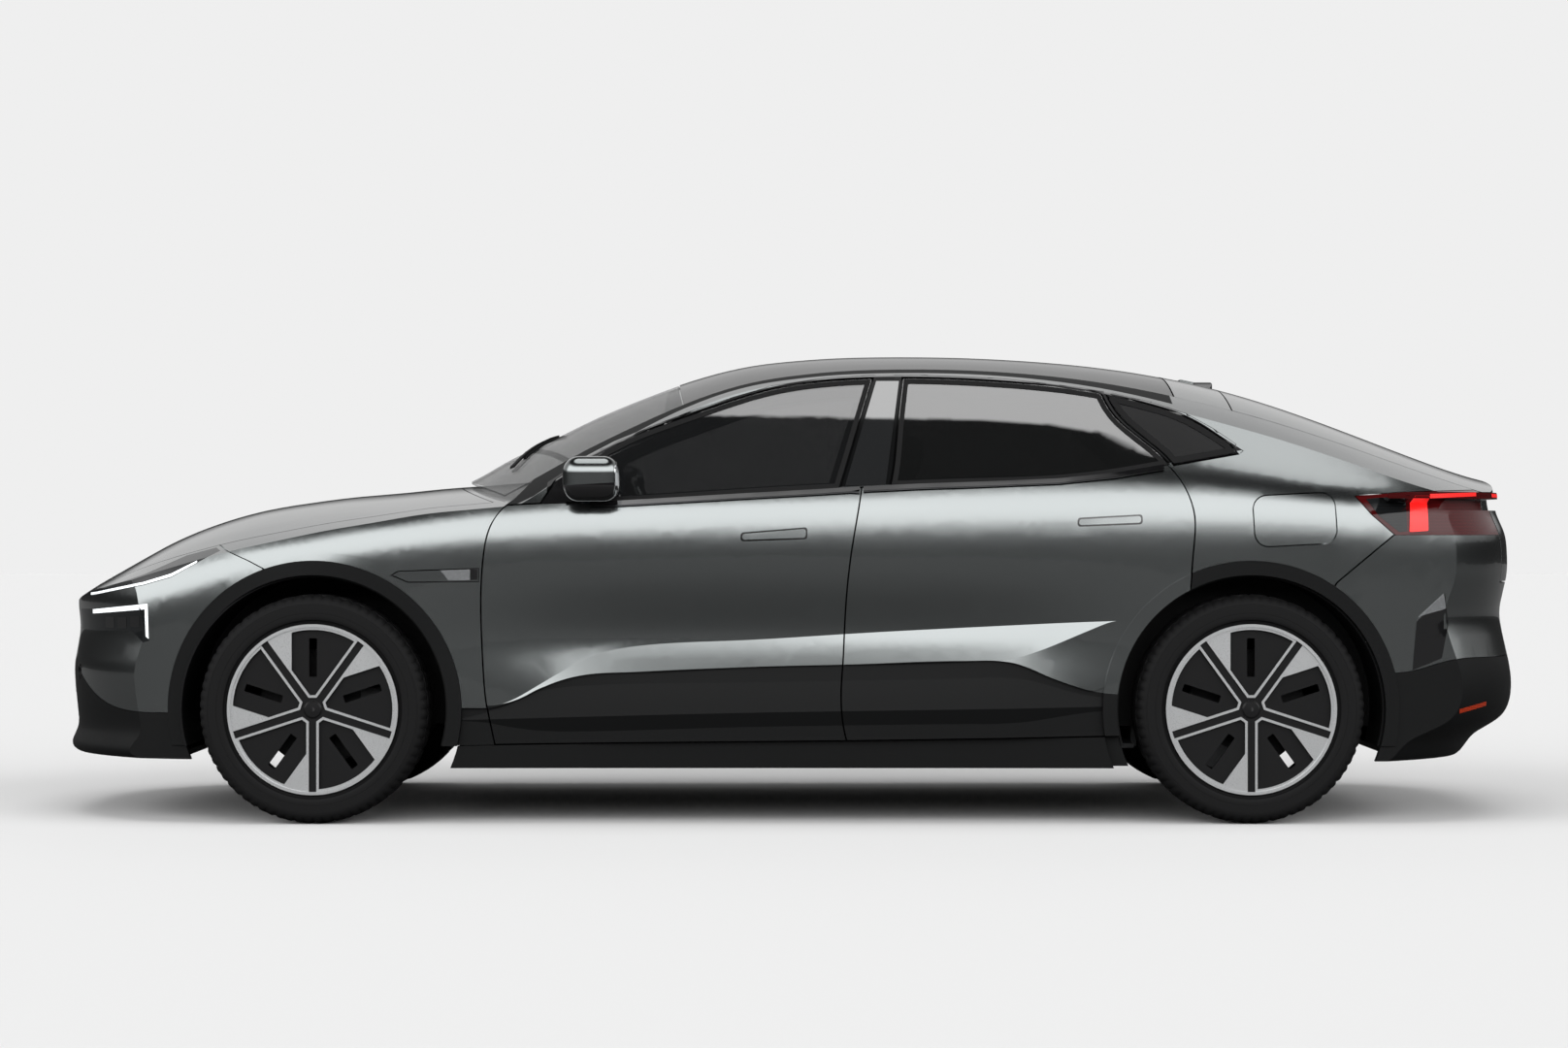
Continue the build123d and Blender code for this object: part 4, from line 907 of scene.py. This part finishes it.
# %% Front lamp bars
LAMP_BARS = {
    "blade_bar": [(-2.300, 0.7265), (-2.272, 0.7300), (-2.087, 0.7640), (-1.991, 0.7900),
                  (-1.905, 0.8360), (-1.905, 0.8420), (-1.991, 0.8000), (-2.087, 0.7720),
                  (-2.272, 0.7375), (-2.300, 0.7345)],
    "corner_bar": [(-2.290, 0.6660), (-2.078, 0.6850), (-2.074, 0.5980), (-2.064, 0.5900),
                   (-2.068, 0.7030), (-2.290, 0.6800)]}
for name, points in LAMP_BARS.items():
    shape = patch(points, left_skin, 0.0012, 0.004, step=0.02)
    pair("lamp_" + name, shape, "body_shell", white_glow)
PROJECTORS = [(-2.215, 0.640), (-2.165, 0.640), (-2.115, 0.645)]
PROJECTOR_HALF = 0.018
for index, (x, z) in enumerate(PROJECTORS):
    square = rectangle(x - PROJECTOR_HALF, z - PROJECTOR_HALF, x + PROJECTOR_HALF,
                       z + PROJECTOR_HALF)
    shape = patch(square, left_skin, 0.0008, 0.003, corner=0.004, step=0.02)
    pair("lamp_projector_" + str(index + 1), shape, "body_shell", gloss)
print("front lamp bars", list(LAMP_BARS), "projectors", len(PROJECTORS))


# %% [markdown]
# Behind the front wheel a painted blade of trim, with a thin dark seam round it, ends in a
# bright plate and a black one that holds the side camera. The rear corners have a tall black
# vent with a bright upper edge, and a low reflector.

# %% Wing trim, rear vent and reflectors
def left_plate(name, points, finish, lift=0.0016, corner=0.0):
    """A plate on the left side's skin and its mirror image, fixed to the body."""
    shape = patch(points, left_skin, lift, 0.003, corner=corner, step=0.025)
    pair(name, shape, "body_shell", finish)


WING_TRIM = [(-1.277, 0.796), (-1.220, 0.772), (-0.992, 0.774), (-0.992, 0.820),
             (-1.251, 0.811)]
left_plate("wing_trim", WING_TRIM, gloss, 0.0008)
left_plate("wing_trim_plate", [(-1.268, 0.797), (-1.219, 0.776), (-0.996, 0.778),
                               (-0.996, 0.816), (-1.250, 0.807)], paint, 0.0016)
left_plate("wing_trim_tip", [(-1.090, 0.780), (-1.022, 0.781), (-1.022, 0.815),
                             (-1.116, 0.812)], chrome, 0.0024)
left_plate("wing_camera", [(-1.021, 0.781), (-0.998, 0.782), (-0.998, 0.815), (-1.021, 0.815)],
           gloss, 0.0026)
left_plate("rear_vent", [(1.993, 0.492), (2.090, 0.530), (2.112, 0.640), (2.100, 0.738),
                         (2.007, 0.650)], gloss)
left_plate("rear_vent_edge", [(2.012, 0.662), (2.096, 0.737), (2.104, 0.690), (2.088, 0.684),
                              (2.040, 0.672)], chrome, 0.0026)
left_plate("rear_reflector", [(2.150, 0.352), (2.255, 0.372), (2.255, 0.386), (2.150, 0.366)],
           amber, 0.0016)
print("wing trim, vents and reflectors")


# %% [markdown]
# The rear lamp glows in a tall bar beside the tailgate, which turns into a thin line right
# across the car. Across the tailgate the line lies on the light bar of the CAD model.

# %% Rear lamp bars
left_plate("rear_lamp_upright", [(1.983, 0.934), (2.046, 0.938), (2.046, 1.050),
                                 (1.990, 1.050)], red_glow, 0.0016, 0.004)
left_plate("rear_lamp_line", [(2.046, 1.042), (2.225, 1.050), (2.225, 1.062),
                              (2.046, 1.056)], red_glow, 0.0016)
left_plate("rear_lamp_cover", [(1.845, 1.040), (1.975, 1.052), (1.975, 0.936),
                               (1.950, 0.934), (1.885, 0.985)], smoked_lamp, 0.0008,
           0.003)
low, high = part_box("tailgate_light_bar")
half = high.y - 0.004
line = patch(rectangle(-half, 1.047, half, 1.059), skin_of("tailgate_light_bar"), 0.0012,
             0.003, look=FROM_BEHIND)
piece("tail_light_line", line, "tailgate", red_glow)
print("tail light line", round(2 * half, 3), "metres wide")


# %% [markdown]
# The door mirrors show a silvered pane to the driver, on the rear face of the case.

# %% Mirror glass
MIRROR_PANE = rectangle(-1.052, 1.050, -0.925, 1.150)
pane = patch(MIRROR_PANE, skin_of("door_mirror_left"), 0.0012, 0.002, look=FROM_BEHIND,
             corner=0.022, step=0.02)
silver = speckled("mirror_silver", (206, 210, 212), (214, 217, 219), 0.02, 0.01, 20.0,
                  second_scale=15.0, Metallic=1.0)
pair("mirror_glass", pane, "front_door_left", silver)
print("mirror panes", MIRROR_PANE[0], "to", MIRROR_PANE[2])


# %% [markdown]
# A tyre's tread is a ring of blocks. One profile is spun round the axle; four grooves are
# part of the profile, and then every third slice of the shoulders is pushed in, and every
# sixth of the ribs between the grooves, which leaves blocks between shallow cuts. The CAD
# tyre, a plain ring, is what this replaces.

# %% Tyres
TYRE_SLICES = 216
WHEEL_OUT = 0.860           # from the centreline to the middle of a wheel
SHOULDER_OUT, SHOULDER_RADIUS, SHOULDER_CUT = 0.078, 0.349, 0.0045
RIBS_OUT, RIB_RADIUS, RIB_CUT = (0.017, 0.072), 0.3655, 0.0035
TYRE_SIDE = [(0.2665, 0.1085), (0.2760, 0.1115), (0.2830, 0.1150), (0.2870, 0.1248),
             (0.2905, 0.1262), (0.2980, 0.1272), (0.3060, 0.1270), (0.3065, 0.1264),
             (0.3085, 0.1264), (0.3090, 0.1270), (0.3200, 0.1268), (0.3330, 0.1262),
             (0.3335, 0.1254), (0.3365, 0.1250), (0.3370, 0.1256), (0.3440, 0.1236),
             (0.3500, 0.1206), (0.3560, 0.1150), (0.3605, 0.1070)]
TYRE_CROWN = [(0.3635, 0.0960), (0.3655, 0.0800), (0.3660, 0.0790), (0.3595, 0.0775),
              (0.3595, 0.0705), (0.3662, 0.0690), (0.3668, 0.0300), (0.3600, 0.0285),
              (0.3600, 0.0195), (0.3670, 0.0180)]


def wheels():
    """Each wheel's end, side and sign of its side, and where its axle is along the car."""
    for side_name, side in (("left", -1), ("right", 1)):
        for end in ("front", "rear"):
            low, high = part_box(end + "_tyre_" + side_name)
            yield end, side_name, side, (low.x + high.x) / 2


def tyre_shape(axle_x, side):
    """A tyre as a spun profile, from one bead over the crown to the other."""
    shape = bmesh.new()
    half = TYRE_SIDE + TYRE_CROWN
    section = half + [(r, -out) for r, out in reversed(half)]
    centre = Vector((axle_x, side * WHEEL_OUT, AXLE_HEIGHT))
    verts = [shape.verts.new(centre + Vector((0, side * out, r))) for r, out in section]
    edges = [shape.edges.new(ends) for ends in zip(verts, verts[1:])]
    bmesh.ops.spin(shape, geom=verts + edges, cent=centre, axis=(0, 1, 0), angle=2 * pi,
                   steps=TYRE_SLICES, use_merge=True, use_duplicate=False)
    bmesh.ops.remove_doubles(shape, verts=shape.verts, dist=1e-5)
    for vert in shape.verts:
        spoke = vert.co - centre
        out = abs(spoke.y)
        spoke.y = 0
        turn = round(atan2(spoke.z, spoke.x) / (2 * pi) * TYRE_SLICES)
        shift = turn + (1 if vert.co.y > centre.y else 0)
        if out > SHOULDER_OUT and spoke.length > SHOULDER_RADIUS and shift % 3 == 0:
            vert.co -= spoke.normalized() * SHOULDER_CUT
        elif RIBS_OUT[0] < out < RIBS_OUT[1] and spoke.length > RIB_RADIUS and shift % 6 == 0:
            vert.co -= spoke.normalized() * RIB_CUT
    return shape


for end, side_name, side, axle_x in wheels():
    made = piece(end + "_tread_tyre_" + side_name, tyre_shape(axle_x, side),
                 end + "_wheel_" + side_name, rubber, sharp=28)
    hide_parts(end + "_tyre_" + side_name)
print("tyres with", TYRE_SLICES, "slices")


# %% [markdown]
# Five bolts hold each wheel, deep beside a blank centre cap. Each is a six-sided cone with
# nearly no taper, bevelled so that its edges catch light.

# %% Wheel bolts
BOLTS = 5
BOLT_CIRCLE = 0.054         # radius of the ring that they stand on
BOLT_OUT = 0.0935


def bolt_ring(axle_x, side):
    shape = bmesh.new()
    for i in range(BOLTS):
        angle = pi / 2 + i * 2 * pi / BOLTS
        place = Vector((axle_x + BOLT_CIRCLE * cos(angle), side * (WHEEL_OUT + BOLT_OUT),
                        AXLE_HEIGHT + BOLT_CIRCLE * sin(angle)))
        spot = Matrix.Translation(place) @ Matrix.Rotation(radians(90), 4, "X")
        made = bmesh.ops.create_cone(shape, cap_ends=True, segments=6, radius1=0.0068,
                                     radius2=0.0062, depth=0.012, matrix=spot)
        caps = [edge for edge in shape.edges if edge.verts[0] in made["verts"]]
        bevel(shape, caps, 0.0008, 1)
    return shape


for end, side_name, side, axle_x in wheels():
    piece(end + "_wheel_bolts_" + side_name, bolt_ring(axle_x, side),
          end + "_wheel_" + side_name, chrome)
print("bolts in each wheel", BOLTS)


# %% [markdown]
# A black seal closes the top of the side windows, from the mirror to the tail. It is a
# narrow ribbon on the body just above the glass, following the same line. Where it meets the
# belt, a small black blade of trim draws the windows out to a point.

# %% Window seal and tail trim
WINDOW_TOP = [(-0.700, 1.1520), (-0.567, 1.2225), (-0.440, 1.2740), (-0.308, 1.3245),
              (-0.180, 1.3680), (-0.059, 1.4040), (0.120, 1.4320), (0.268, 1.4410),
              (0.420, 1.4420), (0.700, 1.4290), (1.007, 1.3920), (1.180, 1.3505),
              (1.286, 1.3120), (1.370, 1.2630), (1.440, 1.2120)]
pair("window_seal", patch(ribbon(WINDOW_TOP, 0.012), frame_skin, 0.0012, 0.004),
     "body_shell", gloss)
WINDOW_TAIL = [(1.235, 1.1500), (1.330, 1.1640), (1.452, 1.1880), (1.462, 1.1960),
               (1.444, 1.2060), (1.330, 1.1800), (1.235, 1.1620)]
pair("window_tail_trim", patch(WINDOW_TAIL, frame_skin, 0.0012, 0.004), "body_shell", gloss)
print("window seal of", len(WINDOW_TOP), "points")


# %% [markdown]
# Two wipers rest along the foot of the windscreen. Each is an arm and a thin blade: long
# plates pressed on the glass from above, the arm a little prouder than the blade.

# %% Wipers
screen_skin = skin_of("windscreen")
BLADE_OFFSET = 0.010        # the blade lies this much behind its arm
BLADE_ENDS = (0.30, 0.62)   # its reach each way from the arm's middle, in arm lengths


def bar_outline(start, end, width):
    """A thin four-sided bar between two points."""
    start, end = Vector(start), Vector(end)
    side = (end - start).orthogonal().normalized() * width / 2
    return [tuple(start - side), tuple(end - side), tuple(end + side), tuple(start + side)]


WIPERS = {"driver": ((-0.915, -0.50), (-0.800, 0.06)),
          "passenger": ((-0.905, 0.08), (-0.790, 0.60))}
for name, (pivot, tip) in WIPERS.items():
    arm = patch(bar_outline(pivot, tip, 0.016), screen_skin, 0.012, 0.008, look=FROM_ABOVE)
    piece("wiper_arm_" + name, arm, "body_shell", rubber)
    middle = (Vector(pivot) + Vector(tip)) / 2
    reach = Vector(tip) - Vector(pivot)
    ends = middle - reach * BLADE_ENDS[0], middle + reach * BLADE_ENDS[1]
    blade = patch(bar_outline(*ends, 0.011), screen_skin, 0.009, 0.0085, look=FROM_ABOVE)
    bmesh.ops.translate(blade, verts=blade.verts, vec=(BLADE_OFFSET, 0, 0))
    piece("wiper_blade_" + name, blade, "body_shell", rubber)
print("wipers", list(WIPERS))


# %% [markdown]
# A small black fin at the rear edge of the roof holds the aerial and the rear camera. It
# starts as a cube. Its upper front edge is narrowed, both ends are moved down, and all edges
# are bevelled.

# %% Roof fin
FIN_PLACE = Vector((1.390, 0, 1.440))

fin = cube((0.135, 0.070, 0.036))
bmesh.ops.translate(fin, verts=fin.verts, vec=FIN_PLACE)
front = [v for v in fin.verts if v.co.x < FIN_PLACE.x and v.co.z > FIN_PLACE.z]
bmesh.ops.translate(fin, verts=front, vec=(0, 0, -0.009))
bmesh.ops.scale(fin, verts=front, vec=(1, 0.75, 1))
rear = [v for v in fin.verts if v.co.x > FIN_PLACE.x]
bmesh.ops.translate(fin, verts=rear, vec=(0, 0, -0.010))
bevel(fin, fin.edges[:], 0.008, 4)
piece("roof_fin", fin, "body_shell", gloss)
print("roof fin at", tuple(round(v, 3) for v in FIN_PLACE))


# %% [markdown]
# Both bumpers carry a blank number plate: a dark mount pressed on the skin, and a smaller
# pale plate that stands a little prouder.

# %% Number plates
plate_white = speckled("plate", (206, 206, 202), (216, 216, 213), 0.42, 0.1, 240.0,
                       second_scale=400.0)
for end, look, height in (("front", FROM_AHEAD, 0.445), ("rear", FROM_BEHIND, 0.600)):
    skin = skin_of(end + "_bumper", end + "_bumper_lower")
    for part, wide, high, lift, finish in (("mount", 0.270, 0.068, 0.004, rubber),
                                           ("plate", 0.258, 0.055, 0.0065, plate_white)):
        corners = rectangle(-wide, height - high, wide, height + high)
        shape = patch(corners, skin, lift, 0.0035, look=look, corner=0.012, step=0.05)
        piece(end + "_number_" + part, shape, "body_shell", finish)
print("two blank number plates")


# %% [markdown]
# Inside, the driver reads a slim screen behind the wheel, and a broad screen stands in the
# middle of the dashboard. Both are bevelled blocks of dark glass with a faint glow.

# %% Screens
def make_screen(f):
    haze = f.noise(12.0)
    return f.surface(Base_Color=f.mix(haze, colour(10, 11, 13), colour(18, 20, 24)),
                     Roughness=0.08 + haze * 0.04,
                     Emission_Color=f.mix(haze, colour(16, 20, 26), colour(30, 36, 44)),
                     Emission_Strength=0.4)


def set_down(shape, place, tilt):
    """Tilts a shape about the car's width and moves it to its place."""
    bmesh.ops.rotate(shape, verts=shape.verts, cent=(0, 0, 0),
                     matrix=Matrix.Rotation(radians(tilt), 3, "Y"))
    bmesh.ops.translate(shape, verts=shape.verts, vec=place)
    return shape


screen_finish = material("screen", make_screen)
SCREENS = {"middle_screen": ((0.018, 0.380, 0.225), (-0.600, 0.0, 1.030), 12),
           "driver_screen": ((0.016, 0.240, 0.085), (-0.690, -0.400, 1.000), 14)}
for name, (size, place, tilt) in SCREENS.items():
    shape = cube(size)
    bevel(shape, shape.edges[:], 0.006, 3)
    piece(name, set_down(shape, place, tilt), "body_shell", screen_finish)
print("screens", list(SCREENS))


# %% [markdown]
# The seats are padded, so they are blown up from plainer blocks by cloth simulation: the
# block is remeshed to even small faces, made cloth, and pressed outward from inside with no
# gravity. Its corners stay in and its faces swell, as foam does under a tight cover. How
# far a point may move is capped, so that each pad stays in the space of its CAD solid.

# %% Pads
BOLSTER_START = 0.55        # share of the half width at which a bolster starts to rise
VOXEL = 0.010
PRESSURE = 4.0
LAST_FRAME = 20
SEAM_DEPTH = 0.005
SEAM_REACH = 0.014


def cushion_block(size, corner, bolster):
    """A rounded block whose long sides rise into bolsters."""
    shape = cube(size)
    bmesh.ops.subdivide_edges(shape, edges=shape.edges[:], cuts=9, use_grid_fill=True)
    half = size[1] / 2
    for vert in shape.verts:
        if vert.co.z > 0 and bolster:
            side = max(0.0, (abs(vert.co.y) / half - BOLSTER_START) / (1 - BOLSTER_START))
            vert.co.z += bolster * (side * side * (3 - 2 * side) - 0.55)
    sharp = [edge for edge in shape.edges if edge.calc_face_angle(0.0) > radians(60)]
    bevel(shape, sharp, corner, 4)
    return shape


def swell(made, most):
    """Remeshes a pad and blows it up as cloth under pressure, with each move capped."""
    scene = bpy.context.scene
    remesh = made.modifiers.new("even", "REMESH")
    remesh.mode = "VOXEL"
    remesh.voxel_size = VOXEL
    keep_shape(made)
    start = [vert.co.copy() for vert in made.data.vertices]
    cloth = made.modifiers.new("cloth", "CLOTH")
    cloth.settings.quality = 4
    cloth.settings.use_pressure = True
    cloth.settings.uniform_pressure_force = PRESSURE
    cloth.settings.effector_weights.gravity = 0.0
    for frame_number in range(1, LAST_FRAME + 1):
        scene.frame_set(frame_number)
    keep_shape(made)
    for vert, place in zip(made.data.vertices, start):
        step = vert.co - place
        if step.length > most:
            vert.co = place + step.normalized() * most
    scene.frame_set(1)


def keep_shape(made):
    """Makes what the modifiers give the mesh itself."""
    graph = bpy.context.evaluated_depsgraph_get()
    finished = bpy.data.meshes.new_from_object(made.evaluated_get(graph))
    old = made.data
    made.modifiers.clear()
    made.data = finished
    bpy.data.meshes.remove(old)


def sew(made, lines):
    """Pulls the cover in along sewn lines, given as distances from the pad's middle."""
    middle = sum(vert.co.y for vert in made.data.vertices) / len(made.data.vertices)
    for vert in made.data.vertices:
        for line in lines:
            off = abs(abs(vert.co.y - middle) - line)
            if off < SEAM_REACH:
                vert.co -= vert.normal * SEAM_DEPTH * (1 - off / SEAM_REACH) ** 2


def make_cloth(f):
    x, y, z = f.xyz()
    weave = (x * 2600.0).math("SINE") * (y * 2600.0 + z * 900.0).math("SINE")
    fleck = f.noise(420.0, 3.0)
    tone = f.mix(weave * 0.2 + fleck * 0.6 + 0.1, colour(38, 39, 41), colour(74, 76, 78))
    return f.surface(Base_Color=tone, Roughness=0.82 + fleck * 0.1,
                     Normal=f.bump(weave * 0.5 + fleck, 0.35, 0.0008))


seat_finish = material("seat_cloth", make_cloth)
print("pads swell under a pressure of", PRESSURE)


def pad(name, size, place, tilt, corner, bolster, most, lines=()):
    """A cushion: its block, swollen and sewn, then smoothed."""
    shape = set_down(cushion_block(size, corner, bolster), place, tilt)
    made = piece(name, shape, "body_shell", seat_finish, sharp=60)
    swell(made, most)
    sew(made, lines)
    made.data.shade_smooth()
    smooth = made.modifiers.new("smooth", "SUBSURF")
    smooth.levels = smooth.render_levels = 1
    print(name, "of", len(made.data.vertices), "points before smoothing")
    return made


# %% [markdown]
# Each front seat is a cushion, a backrest and a headrest, and the rear seat is one wide
# cushion and backrest. Sewn lines part them into a middle and sides. The seats' CAD nodes
# are hidden.

# %% Seats
SEAT_SIDE = 0.400           # from the centreline to the middle of a front seat
for side_name, side in (("left", -1), ("right", 1)):
    cushion = pad("front_cushion_" + side_name, (0.480, 0.460, 0.150),
                  (-0.040, side * SEAT_SIDE, 0.440), -4, 0.030, 0.030, 0.010, (0.125,))
    pad("front_backrest_" + side_name, (0.090, 0.440, 0.560),
        (0.300, side * SEAT_SIDE, 0.805), 18, 0.030, 0.0, 0.010, (0.120,))
    pad("front_headrest_" + side_name, (0.070, 0.225, 0.140),
        (0.400, side * SEAT_SIDE, 1.180), 12, 0.024, 0.0, 0.008)
    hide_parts("front_seats")
bench = pad("rear_cushion", (0.380, 1.180, 0.170), (0.830, 0, 0.435), -3, 0.034, 0.0, 0.010,
            (0.190, 0.400))
pad("rear_backrest", (0.080, 1.160, 0.560), (1.100, 0, 0.790), 22, 0.030, 0.0, 0.010,
    (0.190, 0.400))
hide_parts("rear_seat")
